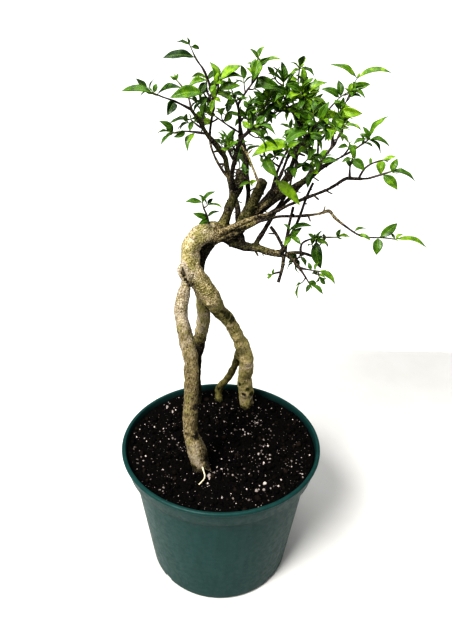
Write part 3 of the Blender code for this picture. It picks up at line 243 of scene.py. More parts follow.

# The woody parts: the points of each centre line as (x, y, z, radius), the tones of its bark from its
# start to its end, and how olive it is. A tone of 0 is a pale root and 1 a dark limb; below 0 the pale bark
# is brightened with painted light, up to about twice at -0.6, to lift roots that lie in shade.
# The trunk snakes from the crown over to the left and down to its own root, and three more prop it up.
LIMBS = {
    "trunk": ([(12, 13, 370, 6), (1, 12, 370, 7.4), (-10, 11, 371, 8.9), (-21, 9, 369, 9),
        (-29, 6, 361, 8.6), (-30, 4, 350, 8.4), (-29, 3, 339, 8.6), (-22, 7, 325, 8.9), (-13, 14, 309, 9.5),
        (-6, 21, 293, 7.3), (6, 31, 273, 6.2), (15, 43, 250, 6.5), (23, 52, 228, 7.8), (26, 59, 206, 8.3),
        (25, 65, 182, 7.7), (28, 69, 158, 8.4)], [0.2, 0, -0.05, -0.25, -0.35, -0.35, -0.35, -0.1, 0.3,
        -0.35, -0.8, -0.7, -0.4, -0.35, -0.35, -0.4, -0.4, -0.2, 0, 0.1], 0.6),
    "front_root": ([(-29, 2, 341, 5), (-33, -1, 331, 4.8), (-36, -5, 319, 5.4), (-38, -11, 306, 5.9),
        (-36, -16, 293, 6.1), (-33, -19, 281, 6.3), (-29, -23, 266, 6.7), (-28, -27, 246, 6.9),
        (-29, -30, 224, 6.8), (-30, -33, 199, 6.8), (-28, -35, 182, 7.6), (-24, -36, 168, 9.4),
        (-21, -36, 156, 9)], [0.2, 0.2, 0.2, 0.32, 0.45, 0.48, 0.46, 0.42, 0.2, 0.05, 0.1], 0.05),
    "middle_root": ([(-7, 15, 368, 4.8), (-14, 16, 358, 4.6), (-20, 17, 347, 4.4), (-23, 20, 332, 4.7),
        (-22, 22, 314, 5.6), (-20, 25, 292, 6.4), (-20, 28, 274, 6.6), (-22, 34, 258, 6.4),
        (-26, 42, 239, 6), (-29, 53, 214, 5.4), (-30, 66, 186, 5), (-30, 74, 160, 5.6)],
        [1, 0.95, 0.35, -0.1, 0.85, 0.95, 0.95, 0.9, 0.9], 0.3),
    "back_root": ([(19, 46, 242, 3.2), (16, 57, 221, 3.4), (13, 66, 199, 3.8), (5, 74, 177, 4),
        (-4, 80, 160, 4.6)], [0.45, 0.5, 0.6], 1.2),
    "left_limb": ([(-2, 12, 376, 4.9), (3, 12, 391, 4.2), (7, 12, 404, 3.8), (4, 11, 417, 2.8),
        (1, 10, 426, 2.2), (-1, 8, 435, 2.2), (-8, 3, 445, 2.2), (-15, 1, 453, 1.8), (-21, -1, 463, 1.6),
        (-28, -3, 472, 1.3)], [0.55, 0.7, 0.85, 1, 1, 1], 0.8),
    "left_fork": ([(4, 8, 417, 1.4), (-2, 6, 424, 1.2), (-8, 3, 434, 1), (-12, 2, 444, 0.9),
        (-13, 2, 452, 1), (-12, 0, 462, 1), (-10, -2, 473, 0.9), (-10, -4, 479, 0.8)], [0.6, 0.75, 1], 0.1),
    "front_stump": ([(12, 10, 374, 5.8), (20, 8, 391, 4.9), (26, 6, 404, 4.5), (31, 2, 418, 4.2)],
        [0.65, 0.7, 0.75, 0.85], 0.8),
    "stump_twig": ([(28, 2, 413, 1), (26, 0, 419, 1), (22, 2, 428, 0.9), (17, 6, 438, 0.9),
        (9, 13, 448, 0.8)], [0.5, 0.45, 0.55], 0.6),
    "middle_limb": ([(13, 18, 377, 4.1), (19, 20, 391, 2.5), (20, 24, 404, 2.1), (18, 27, 418, 2.2),
        (17, 29, 432, 2.3), (13, 31, 446, 2.4), (11, 31, 459, 1.4), (9, 30, 476, 1)], [0.8, 0.95, 1], 0.3),
    "middle_prop": ([(5, 13, 417, 1.5), (7, 18, 428, 1.5), (10, 30, 444, 1.3)], [1, 1], 0),
    "dark_stump": ([(6, 12, 399, 3.2), (10, 13, 407, 4.1), (12, 14, 415, 4.3), (13, 16, 424, 4.2)],
        [1, 1], 0.3),
    "middle_fork": ([(12, 31, 447, 1.7), (19, 35, 452, 1.4), (27, 39, 456, 1.3), (35, 44, 460, 1)],
        [1, 1], 0),
    "long_limb": ([(-10, 10, 367, 3), (-1, 4, 374, 2.8), (11, -3, 382, 2.4), (26, -8, 390, 2),
        (39, -12, 395, 1.6), (53, -15, 403, 1.4), (67, -18, 410, 1.4), (81, -21, 417, 1.3),
        (92, -23, 425, 1.5), (96, -25, 426, 1.5), (104, -26, 426, 1.1), (113, -27, 427, 0.9)],
        [0.45, 0.5, 0.65, 0.85, 0.95, 1, 1], 0.1),
    "under_limb": ([(-11, 12, 360, 2.7), (-2, 6, 367, 2.5), (7, 3, 372, 2.3), (17, 4, 377, 2.3),
        (28, 8, 382, 2.2), (39, 15, 387, 2.1), (52, 25, 394, 1.8), (64, 37, 403, 1.5), (74, 48, 414, 1.5),
        (82, 56, 426, 1.3), (83, 60, 439, 1.1), (82, 63, 449, 1)], [0.5, 0.45, 0.9, 1, 1], 0.5),
    "low_limb": ([(0, 13, 369, 5.5), (8, 12, 362, 4.9), (17, 11, 359, 4.2), (30, 8, 358, 3.5),
        (40, 4, 356, 3.3), (52, 0, 356, 3.2)], [1, 1, 0.9, 0.7, 0.65, 0.75], 0.45),
    "crown_web": ([(10, 10, 373, 3.4), (14, 10, 367, 3.6), (15, 11, 360, 3.4)], [1, 1], 0.2),
    "low_riser": ([(27, 9, 361, 2.4), (33, 12, 370, 2.2), (39, 15, 380, 2.1), (45, 19, 390, 1.8),
        (55, 26, 406, 1.5), (58, 31, 420, 1.2)], [0.9, 0.95], 0.1),
    "low_shoot_front": ([(53, 0, 358, 1.5), (53, -4, 374, 1.2), (56, -8, 399, 1.1)], [0.95, 0.95], 0),
    "low_shoot_back": ([(50, 1, 357, 1.6), (62, 4, 383, 1.2), (68, 6, 403, 1.1), (73, 7, 416, 1)],
        [0.95, 0.95], 0),
    "low_shoot_left": ([(52, 1, 359, 1.5), (46, 5, 370, 1.4), (40, 10, 377, 1.3)], [0.9, 0.95], 0),
    "low_spur": ([(52, -1, 356, 1.8), (51, -4, 344, 1.5), (48, -7, 332, 1.2)], [0.8, 0.95], 0),
    "low_right": ([(54, 0, 356, 1.8), (63, 4, 356, 1.4), (72, 7, 354, 1.2), (79, 9, 351, 1.1)],
        [0.7, 0.9], 0.1),
    "low_tip": ([(53, 0, 356, 1.8), (61, -5, 351, 1.4), (67, -8, 344, 1.2)], [0.7, 0.85], 0.1),
    "thin_limb": ([(28, 8, 382, 1.8), (45, -1, 389, 1.3), (61, -6, 391, 1.2), (77, -9, 394, 1.1),
        (85, -11, 397, 1.3), (90, -12, 392, 1.1), (97, -14, 387, 1)], [0.9, 0.95, 0.95, 0.5, 0.5], 0),
    "right_limb": ([(12, 16, 374, 5), (36, 18, 394, 3.4), (49, 18, 403, 2.9), (62, 17, 412, 2.8),
        (71, 15, 419, 2.8), (78, 14, 426, 2.3), (86, 13, 431, 1.3), (97, 10, 438, 0.9)],
        [0.8, 0.85, 0.95], 0.3),
    "right_fork": ([(76, 14, 424, 1.6), (80, 15, 432, 1.2), (84, 16, 439, 1.1), (90, 18, 446, 1)],
        [0.9, 0.95], 0),
    "brown_stub": ([(25, 10, 389, 2.9), (36, 8, 399, 2.5), (46, 5, 412, 2.2), (53, 2, 422, 2.2),
        (57, -1, 431, 1.9), (54, -3, 439, 1.1), (50, -5, 446, 0.9)], [0.6, 0.6, 0.7, 0.9], 0.2),
    "thin_upright": ([(37, 8, 400, 1.5), (41, -3, 424, 1.1), (46, -9, 440, 1)], [0.9, 0.95], 0),
    "high_limb": ([(32, 20, 393, 2.5), (45, 30, 405, 2.1), (55, 35, 419, 1.9), (60, 38, 433, 1.8),
        (63, 40, 447, 1.8), (67, 41, 460, 2)], [0.8, 0.9, 1], 0),
    "high_stub": ([(65, 40, 455, 2.4), (61, 40, 463, 2.6), (58, 39, 470, 2.3)], [0.95, 1], 0),
    "back_left_limb": ([(12, 20, 380, 3.2), (11, 42, 387, 2.4), (7, 60, 398, 2), (1, 76, 409, 1.6),
        (-2, 88, 423, 1.4)], [0.85, 0.95], 0.1),
    "back_right_limb": ([(24, 20, 385, 3), (37, 42, 395, 2.3), (47, 58, 404, 1.9), (54, 71, 416, 1.6),
        (59, 81, 427, 1.4), (64, 90, 440, 1.2)], [0.85, 0.95], 0.1),
    "front_left_limb": ([(6, 10, 410, 2), (5, -14, 427, 1.6), (8, -34, 445, 1.4), (12, -50, 458, 1.2)],
        [0.95, 0.9], 0),
    "front_right_limb": ([(50, 3, 417, 2), (52, -22, 438, 1.6), (57, -40, 454, 1.4), (59, -52, 464, 1.2)],
        [0.8, 0.9], 0),
    "trunk_knob": ([(-34, 1, 345, 2.4), (-39, -2, 342, 2.2), (-38.2, -4, 336.5, 2), (-35.5, -5, 331, 1.6)],
        [0, 0.1], 0),
    "front_flare": ([(-22, -37, 162, 7), (-14, -41, 151, 3.4), (-10, -43, 146.6, 1.6)], [0.1, 0.3], 0.1),
    "main_flare": ([(28, 69, 161, 6), (33, 68, 151, 3.4), (37, 68, 147.2, 1.8)], [0.3, 0.3], 0.2),
    "feeder_root": ([(-20, -38, 156, 1), (-17, -45, 150, 0.9), (-15, -53, 146.9, 0.8),
        (-20, -62, 146.6, 0.7)], [0], 0),
}
LIMB_SIDES = {"trunk": 11, "front_root": 10, "middle_root": 8, "back_root": 7}

# Leafy shoots: the limb, the shoot's points (x, y, z), its large leaves, and the pairs of smaller
# ones that fill it. A large leaf is how far along the shoot it grows, its tip (x, y, z), its width
# and its roll about its own length in degrees. The fill is its pairs, the longest leaf, and how far
# the first pair is turned about the shoot. Pairs then alternate by a quarter turn. Last come how many
# side twigs with small leaves it has, and how bright it is: 0 is an old shaded leaf, 1 a young one.
# That brightness is partly the leaves' age and partly painted light, raised for shoots that lie in shade.
SHOOTS = {
    "left_tip": ("left_limb", [(-27, -3, 472), (-39, -7, 477), (-48, -10, 480), (-55, -13, 483)],
        [(1, -77, -16, 485, 8.9, -30), (0.99, -52, -9, 489, 3.7, 50), (0.88, -33, -18, 487, 8.2, 25),
        (0.43, -44, -15, 468, 7.5, -45)], (), 1, 0.32),
    "left_bud": ("left_limb", [(-24, -1, 473), (-31, 6, 482), (-40, 12, 492)], [(1, -44, 10, 494, 2, -90),
        (0.95, -38, 13, 496, 2.1, 15)], (), 0, 0.37),
    "left_high": ("left_fork", [(-12, -6, 479), (-14, -9, 492), (-18, -12, 500), (-22, -15, 505),
        (-27, -18, 515)], [(0.76, -45, -23, 506, 9.4, -35), (1, -35, -22, 516, 3.6, -40),
        (0.94, -20, -13, 512, 3, 75), (0.36, -26, -13, 494, 4.8, -30)], (), 0, 0.24),
    "left_broad": ("left_fork", [(-11, -5, 474), (-15, -12, 480), (-17, -18, 484)],
        [(0.98, -41, -23, 481, 9.5, -55), (0.68, -19, -18, 474, 5.2, -45)], (), 1, 0.25),
    "left_bright": ("left_fork", [(-11, -6, 478), (-7, -13, 484), (-6, -20, 492)],
        [(0.77, -10, -13, 499, 4.7, -20), (1, -12, -18, 504, 5.4, -50), (1, 12, -16, 495, 7.5, 20),
        (0.97, 10, -12, 503, 8.4, 30), (0.59, 10, -18, 489, 7, 50), (0.41, 5, -20, 479, 6.2, 35)],
        (), 2, 0.52),
    "left_back": ("left_fork", [(-11, -5, 476), (-15, 4, 483), (-16, 10, 492)], [(1, -30, 4, 487, 6.4, -40),
        (0.91, -21, 1, 479, 6.2, -45), (1, -5, 16, 499, 5.7, 30)], (1, 18, 20), 2, 0.37),
    "left_inner": ("left_limb", [(-18, 2, 459), (-19, 8, 466), (-20, 12, 472)],
        [(0.76, -12, 14, 472, 4.7, 75), (0.5, -24, 12, 468, 3.9, -65), (0.34, -11, 2, 461, 5.4, 75)],
        (1, 15, 70), 2, 0.25),
    "left_low": ("left_limb", [(-15, 3, 454), (-24, -3, 455), (-33, -8, 456), (-41, -12, 455)],
        [(0.99, -50, -16, 464, 5.5, -65), (1, -50, -16, 447, 5.1, -10), (0.63, -40, -13, 452, 4.6, -75),
        (0.34, -30, -11, 442, 6.7, 0), (0.51, -26, -1, 463, 3.9, 30)], (), 1, 0.34),
    "left_low_up": ("left_limb", [(-17, 3, 456), (-23, 8, 459), (-29, 12, 463)], [(1, -45, 9, 461, 6.6, -15),
        (0.8, -19, 14, 467, 4.8, 75)], (), 1, 0.37),
    "left_base": ("trunk", [(-13, 10, 374), (-15, 5, 386), (-18, 2, 394), (-19, 0, 400)],
        [(1, -33, -3, 401, 5.7, -35), (1, -9, 2, 409, 5.4, 20), (0.52, -4, 8, 390, 5, 15),
        (0.48, -27, 1, 390, 5.2, -70), (0.41, -22, -6, 383, 5.5, -20)], (), 1, 0.25),
    "middle_top": ("middle_limb", [(10, 30, 474), (15, 27, 483), (23, 23, 494), (27, 20, 503),
        (23, 18, 508)], [(0.99, 20, 12, 492, 8.5, -25), (1, 17, 20, 514, 3.5, -30),
        (0.94, 28, 22, 516, 4.4, 20), (0.87, 32, 15, 508, 4.7, 110), (0.82, 42, 24, 508, 6.8, 15),
        (0.61, 42, 17, 487, 8.7, 85)], (), 4, 0.34),
    "top_left": ("middle_limb", [(10, 30, 469), (7, 24, 477), (4, 18, 483)], [(0.98, -4, 15, 480, 3.7, -50),
        (0.91, 14, 24, 481, 4.2, 50), (0.61, -2, 17, 473, 4.8, -70)], (), 4, 0.34),
    "middle_left": ("middle_limb", [(12, 32, 451), (1, 24, 458), (-10, 15, 466)], [(1, -17, 12, 469, 4, -95),
        (0.61, 3, 27, 469, 5.7, 45)], (), 3, 0.37),
    "middle_side": ("middle_limb", [(11, 31, 460), (15, 38, 464), (19, 43, 470)],
        [(0.95, 14, 46, 476, 4.2, -60), (0.8, 24, 36, 463, 5.1, 65), (0.53, 10, 34, 471, 4.2, -120)],
        (2, 16, 20), 4, 0.3),
    "stump_leaf": ("dark_stump", [(16, 18, 418), (19, 2, 418), (20, -8, 418)], [(1, 11, -12, 415, 4.1, -30),
        (1, 25, -10, 420, 3.2, 85)], (), 1, 0.3),
    "fork_up": ("middle_fork", [(31, 41, 460), (31, 34, 468), (32, 26, 478)], [(1, 21, 22, 484, 5.7, -100),
        (0.92, 17, 24, 474, 6.2, -20), (1, 35, 31, 486, 4.9, 30)], (2, 18, 50), 4, 0.42),
    "fork_end": ("middle_fork", [(36, 44, 461), (42, 40, 468), (47, 36, 474)], [(1, 23, 30, 467, 9.5, -25),
        (1, 34, 40, 488, 7.8, -65), (0.79, 59, 41, 477, 6.3, 45), (0.4, 24, 33, 463, 7.4, -25)],
        (2, 18, 15), 4, 0.45),
    "fork_back": ("middle_fork", [(26, 39, 457), (27, 52, 461), (31, 64, 467)], [], (3, 18, 30), 4, 0.38),
    "centre_top": ("high_stub", [(61, 39, 461), (53, 35, 470), (46, 30, 481), (45, 26, 491)],
        [(1, 43, 28, 506, 6.1, -25), (0.99, 53, 29, 497, 4.3, 20), (0.99, 36, 29, 502, 6, -15),
        (0.87, 58, 31, 491, 5.5, 55), (0.74, 36, 24, 479, 5.7, -75)], (2, 18, 60), 3, 0.37),
    "centre_crest": ("high_stub", [(60, 38, 465), (53, 24, 477), (47, 14, 484)], [(1, 35, 10, 488, 5.5, -95),
        (0.92, 57, 13, 480, 5.5, 85)], (2, 18, 40), 3, 0.37),
    "centre_peak": ("high_stub", [(61, 38, 464), (63, 47, 477), (60, 53, 489), (61, 58, 502)],
        [(1, 66, 60, 510, 3.9, 35), (0.97, 53, 54, 497, 3.8, -30), (0.97, 74, 54, 496, 5.7, 25),
        (0.76, 52, 58, 494, 4.2, -85), (0.68, 69, 57, 495, 4.6, 50)], (), 3, 0.5),
    "centre_bright": ("high_stub", [(61, 39, 463), (63, 24, 475), (58, 12, 485)], [(1, 45, 9, 490, 5.7, -80),
        (1, 67, 15, 495, 5.5, 25), (0.91, 77, 10, 492, 8.2, 45), (0.79, 57, 9, 472, 5.6, -20)],
        (2, 18, 80), 4, 0.6),
    "high_end": ("high_limb", [(64, 40, 460), (69, 36, 470), (70, 32, 480)], [(1, 81, 26, 476, 5.3, 30),
        (0.98, 62, 35, 484, 4.1, -85), (0.69, 83, 39, 472, 5.8, 60)], (2, 17, 30), 3, 0.42),
    "high_back": ("high_limb", [(64, 40, 457), (72, 57, 461), (78, 71, 470)], [], (3, 18, 45), 4, 0.46),
    "high_out": ("high_limb", [(63, 39, 452), (67, 28, 460), (70, 18, 467)], [(1, 82, 15, 473, 7.3, 90),
        (0.95, 56, 15, 471, 7.3, -95), (0.58, 77, 22, 459, 5, 80)], (2, 18, 65), 4, 0.42),
    "centre_front": ("thin_upright", [(45, -10, 439), (47, -19, 445), (45, -28, 449)],
        [(0.9, 19, -34, 442, 9.5, -45), (1, 54, -34, 453, 4.6, 75), (0.79, 35, -20, 453, 5.2, -35)],
        (), 3, 0.42),
    "centre_low": ("thin_upright", [(43, -6, 430), (36, -18, 436), (29, -28, 442)],
        [(1, 38, -40, 429, 8.2, 45)], (), 3, 0.32),
    "bright_leaf": ("thin_upright", [(42, -4, 425), (41, -12, 424), (40, -18, 422)],
        [(0.93, 59, -27, 406, 9.5, 45)], (), 0, 0.78),
    "front_left_end": ("front_left_limb", [(13, -48, 458), (16, -58, 463), (20, -66, 467)],
        [(1, 33, -70, 462, 5.8, 15), (1, 26, -63, 472, 5.2, 65), (0.7, 11, -56, 468, 4, -70),
        (0.54, 24, -66, 460, 4.7, 15)], (1, 17, 50), 4, 0.37),
    "front_left_side": ("front_left_limb", [(6, -24, 439), (2, -34, 446), (2, -40, 449)],
        [(1, 9, -44, 454, 3.8, 60), (0.81, -3, -40, 450, 2.6, -65)], (), 3, 0.37),
    "front_right_end": ("front_right_limb", [(58, -52, 462), (60, -58, 466), (62, -63, 470)],
        [(0.95, 69, -60, 474, 4, 70), (0.76, 66, -66, 465, 4, 70), (0.62, 54, -55, 469, 4, -80)],
        (2, 16, 20), 3, 0.37),
    "front_right_up": ("front_right_limb", [(55, -42, 456), (55, -52, 459), (57, -58, 462)],
        [(0.98, 39, -66, 456, 8.2, -30), (0.92, 66, -63, 459, 4.8, 80)], (1, 16, 70), 4, 0.37),
    "front_right_low": ("front_right_limb", [(55, -30, 448), (57, -42, 450), (59, -50, 452)],
        [(0.98, 58, -58, 444, 4.6, -20), (0.74, 50, -53, 448, 4.6, -20)], (), 3, 0.37),
    "round_leaf": ("brown_stub", [(51, -5, 430), (56, -13, 431), (59, -19, 434)],
        [(0.98, 67, -27, 434, 6.9, 80)], (), 2, 0.1),
    "right_end": ("right_limb", [(96, 10, 437), (99, 6, 444), (98, 2, 449)], [(0.96, 103, -4, 437, 5.6, 20),
        (0.66, 89, 1, 445, 4.3, -40), (0.46, 107, 11, 445, 4, 70)], (), 0, 0.42),
    "right_whorl": ("right_limb", [(95, 11, 436), (104, 18, 440), (113, 23, 445), (120, 27, 449)],
        [(1, 106, 22, 446, 6.1, -10), (1, 112, 30, 453, 3.8, -35), (1, 111, 31, 458, 5.3, -40),
        (1, 134, 32, 467, 9.3, -5), (1, 137, 23, 445, 7.2, 15), (1, 130, 21, 439, 6.1, 10)], (), 1, 0.42),
    "right_fork_end": ("right_fork", [(92, 18, 447), (94, 20, 456), (98, 22, 461)],
        [(0.98, 110, 18, 457, 5.3, 20), (0.96, 89, 25, 464, 4.9, -85), (0.47, 100, 15, 448, 4, 20)],
        (), 2, 0.37),
    "right_fork_side": ("right_fork", [(91, 17, 444), (85, 8, 452), (82, -1, 460)],
        [(0.98, 81, -9, 452, 7, 5), (1, 89, -5, 457, 3.4, 30), (1, 75, -5, 458, 4.7, -70)], (), 2, 0.37),
    "right_fan": ("right_fork", [(88, 16, 442), (90, 30, 452), (93, 38, 462), (97, 44, 471)],
        [(0.97, 114, 37, 468, 7.6, 85), (1, 91, 47, 478, 5.1, -75), (0.93, 106, 48, 473, 4.9, 25),
        (0.81, 84, 37, 470, 5.9, -100), (0.73, 105, 41, 465, 5.1, 75)], (1, 18, 60), 4, 0.52),
    "right_high": ("high_limb", [(63, 39, 443), (75, 46, 454), (88, 55, 469), (99, 60, 480), (107, 62, 484)],
        [(0.99, 120, 57, 480, 5.9, 25), (0.98, 108, 66, 491, 4.4, 15), (0.85, 96, 64, 493, 6.1, -40),
        (0.83, 81, 57, 486, 7.4, -60), (0.72, 103, 52, 474, 5.2, 85), (0.61, 79, 60, 477, 5.2, -75)],
        (2, 17, 45), 5, 0.46),
    "right_peak": ("under_limb", [(91, 58, 442), (98, 64, 461), (107, 68, 479), (111, 70, 490),
        (114, 71, 495)], [(1, 89, 67, 506, 9.5, -35), (1, 141, 66, 501, 9.5, 25),
        (0.9, 124, 64, 490, 6.2, 90), (0.72, 115, 72, 485, 4.4, 65)], (), 2, 0.44),
    "right_leaf": ("right_limb", [(77, 14, 423), (75, 3, 429), (76, -4, 434)], [(0.98, 88, -9, 437, 5.4, 55),
        (0.88, 68, 1, 437, 4, -75)], (), 2, 0.32),
    "long_up": ("long_limb", [(95, -25, 427), (94, -27, 435), (95, -29, 442)],
        [(0.93, 103, -36, 434, 6.7, 65), (0.98, 86, -33, 439, 4.1, -15), (0.5, 90, -23, 441, 3.4, -35),
        (0.67, 99, -24, 439, 2.5, 35)], (), 0, 0.37),
    "long_side": ("long_limb", [(102, -26, 427), (106, -23, 433), (113, -20, 437), (122, -17, 439)],
        [(0.98, 130, -19, 442, 3.7, 50), (0.94, 119, -23, 429, 7, 0), (0.51, 111, -18, 441, 2.5, 15)],
        (), 0, 0.37),
    "long_tip": ("long_limb", [(109, -27, 428), (118, -29, 430), (125, -31, 433)],
        [(1, 142, -36, 428, 7.4, 10), (0.95, 128, -29, 442, 5.3, 45), (0.59, 130, -35, 420, 6.8, 75)],
        (), 0, 0.36),
    "thin_tip": ("thin_limb", [(101, -14, 384), (110, -15, 379), (120, -16, 377), (131, -16, 377),
        (142, -17, 376)], [(0.99, 167, -21, 372, 9.5, 10), (0.97, 137, -15, 381, 2.6, -35),
        (0.99, 148, -14, 380, 3.3, 10), (0.7, 142, -13, 389, 7.4, 55), (0.68, 126, -22, 364, 8.3, -5),
        (0.24, 117, -12, 384, 3.6, 15), (0.33, 120, -20, 375, 3.5, 50)], (), 0, 0.46),
    "low_hang": ("low_right", [(78, 8, 352), (80, 9, 359), (81, 10, 367)], [(0.95, 86, 2, 342, 9.7, 40),
        (1, 90, 5, 365, 4.4, 70), (1, 86, 13, 374, 3.6, -5)], (), 3, 0.25),
    "low_thin": ("low_right", [(68, 5, 356), (68, 8, 363), (80, 12, 367), (101, 16, 367)],
        [(1, 103, 18, 374, 3.6, 30), (1, 111, 13, 369, 4.3, 25), (0.49, 74, 16, 370, 3.1, -35)],
        (), 0, 0.37),
    "low_out": ("low_tip", [(65, -6, 345), (75, -4, 343), (85, -2, 341)], [(0.98, 98, -8, 332, 6.9, 25),
        (0.58, 74, -1, 349, 3.5, -50), (0.75, 83, 0, 349, 3.3, -5)], (), 2, 0.45),
    "low_tip_leaves": ("low_tip", [(69, -8, 342), (72, -9, 337), (76, -10, 331)],
        [(0.97, 72, -14, 326, 3.5, -30), (0.97, 87, -15, 325, 5.5, 15), (0.75, 82, -7, 331, 4.4, 75)],
        (), 1, 0.42),
    "low_curl": ("low_spur", [(50, -5, 341), (45, -8, 341), (41, -10, 340)], [(1, 37, -13, 338, 2.2, -50),
        (0.89, 43, -8, 345, 2.2, 25)], (), 0, 0.2),
    "low_side": ("low_right", [(69, 5, 355), (67, 12, 349), (66, 18, 345)], [(1, 67, 12, 338, 5.5, 20),
        (0.83, 59, 19, 350, 5.5, -65)], (), 3, 0.25),
    "low_leaf": ("low_shoot_front", [(54, -3, 369), (54, -8, 376), (54, -12, 381)],
        [(0.98, 71, -17, 387, 7.5, 20), (0.89, 49, -8, 385, 3.1, -25)], (), 1, 0.16),
    "back_left_end": ("back_left_limb", [(-4, 84, 427), (-1, 91, 431), (2, 96, 436)], [],
        (3, 18, 40), 4, 0.37),
    "back_left_side": ("back_left_limb", [(5, 66, 419), (11, 76, 423), (17, 85, 428)], [],
        (3, 20, 10), 4, 0.37),
    "back_right_end": ("back_right_limb", [(61, 90, 442), (65, 96, 450), (68, 100, 457)], [],
        (3, 20, 30), 3, 0.37),
    "back_right_side": ("back_right_limb", [(52, 78, 425), (63, 88, 427), (74, 95, 431)], [],
        (3, 20, 60), 3, 0.37),
}


# Geometry of routes


def curved(a, b, c, d, t):
    """One number on its way from b to c, on a smooth curve that also heeds a and d."""
    bend = 2 * a - 5 * b + 4 * c - d
    twist = 3 * b - a - 3 * c + d
    return 0.5 * (2 * b + (c - a) * t + bend * t**2 + twist * t**3)


def smooth_route(points, step):
    """Points about step apart on a smooth curve through the given ones, with as many numbers each."""
    ends = [points[0], *points, points[-1]]
    route = []
    for i in range(len(points) - 1):
        p0, p1, p2, p3 = ends[i : i + 4]
        span = math.dist(p1[:3], p2[:3])
        count = max(1, round(span / step))
        for k in range(count):
            route.append(tuple(curved(*four, k / count) for four in zip(p0, p1, p2, p3)))
    return [*route, tuple(points[-1])]


def tangents(centres):
    """Unit directions along a line of points, one for each point."""
    last = len(centres) - 1
    found = []
    for i in range(len(centres)):
        ahead = centres[min(i + 1, last)] - centres[max(i - 1, 0)]
        found.append(ahead.normalized())
    return found


def across(direction):
    """A unit vector square to a direction, level where it can be."""
    side = direction.cross(Vector((0, 0, 1)))
    if side.length < 0.2:
        side = direction.cross(Vector((0, 1, 0)))
    return side.normalized()


def middles(route):
    return [Vector(p[:3]) for p in route]


def rings(route):
    """The middle at each point of a route, and two directions square to it that don't twist."""
    centres = middles(route)
    along = tangents(centres)
    side = across(along[0])
    for centre, direction in zip(centres, along):
        side = (side - direction * side.dot(direction)).normalized()
        yield centre, side, direction.cross(side)


def circle(radius, count):
    """Points (x, y) evenly around a circle."""
    angles = [2 * math.pi * k / count for k in range(count)]
    return [(radius * math.cos(a), radius * math.sin(a)) for a in angles]


def ring_faces(rows, sides, first=0, inward=False):
    """Four-sided faces between rows of points, the first of which has the number given."""
    faces = []
    for i in range(rows - 1):
        for k in range(sides):
            a, b = first + i * sides + k, first + i * sides + (k + 1) % sides
            faces.append((a, a + sides, b + sides, b) if inward else (a, b, b + sides, a + sides))
    return faces


def outward(direction, turn):
    """A unit vector square to a direction, turned about it."""
    side = across(direction)
    return side * math.cos(turn) + direction.cross(side) * math.sin(turn)


def tube_faces(rows, sides):
    """The faces of a closed tube with flat ends."""
    last = (rows - 1) * sides
    return [*ring_faces(rows, sides), tuple(reversed(range(sides))), tuple(range(last, last + sides))]


def tube(route, sides):
    """A closed tube along a route of (x, y, z, radius), as points and faces."""
    points = []
    for (centre, side, other), (*_, radius) in zip(rings(route), route):
        points += [centre + radius * (x * side + y * other) for x, y in circle(1, sides)]
    return points, tube_faces(len(route), sides)


# Growth: where every shoot and leaf goes


def limb_route(name, step=RING_STEP):
    """A limb's centre line, with its straight buried end where it is a root."""
    points = list(LIMBS[name][0])
    if name in PEG_RADII:
        x, y = points[-1][:2]
        points += [(x, y, z, PEG_RADII[name]) for z in (PEG_TOP, PEG_FOOT)]
    return smooth_route(points, step)


def widest(name):
    return max(p[3] for p in LIMBS[name][0])


def limb_sides(name):
    return LIMB_SIDES.get(name, 7 if widest(name) > 4 else 5 if widest(name) > 2.3 else 4)


def nearest_on(route, point):
    """The point of a route of straight runs nearest to the given one, and the route's radius there."""
    best = None
    for a, b in zip(route, route[1:]):
        start, run = Vector(a[:3]), Vector(b[:3]) - Vector(a[:3])
        t = max(0.0, min(1.0, (Vector(point) - start).dot(run) / run.length_squared))
        place = start + run * t
        gap = (place - Vector(point)).length
        if best is None or gap < best[0]:
            best = (gap, place, a[3] + (b[3] - a[3]) * t)
    return best[1], best[2]


def along_route(centres, distance):
    """The place and the direction at a distance along a line of points."""
    for a, b in zip(centres, centres[1:]):
        run = b - a
        if distance <= run.length or b is centres[-1]:
            return a + run.normalized() * distance, run.normalized()
        distance -= run.length


def route_length(centres):
    return sum((b - a).length for a, b in zip(centres, centres[1:]))


def shoot_lines(name, swing, stub_length):
    """The shoot's centre line, its stub on the limb and its own twig. Swing moves its tip aside."""
    limb, points = SHOOTS[name][:2]
    start, limb_radius = nearest_on(limb_route(limb), points[0])
    reach = len(points) - 1
    swung = [start] + [Vector(p) + Vector(swing) * (i + 1) / reach for i, p in enumerate(points[1:])]
    centres = [Vector(p) for p in smooth_route([tuple(p) for p in swung], TWIG_STEP / 3)]
    cut, direction = along_route(centres, limb_radius + stub_length)
    total = route_length(centres)
    places = [cut + direction * CLEARANCE, cut + direction * (CLEARANCE + TWIG_LEAD)]
    passed = limb_radius + stub_length + CLEARANCE + TWIG_LEAD
    steps = max(1, round((total - passed) / TWIG_STEP))
    places += [along_route(centres, passed + (total - passed) * k / steps)[0] for k in range(1, steps + 1)]
    length = route_length(places)
    done, twig = 0.0, []
    for i, place in enumerate(places):
        done += (place - places[i - 1]).length if i else 0.0
        twig.append((*place, TWIG_RADIUS + (TWIG_TIP_RADIUS - TWIG_RADIUS) * done / length))
    stub = [(*start, TWIG_RADIUS), (*cut, TWIG_RADIUS)]
    return centres, stub, twig


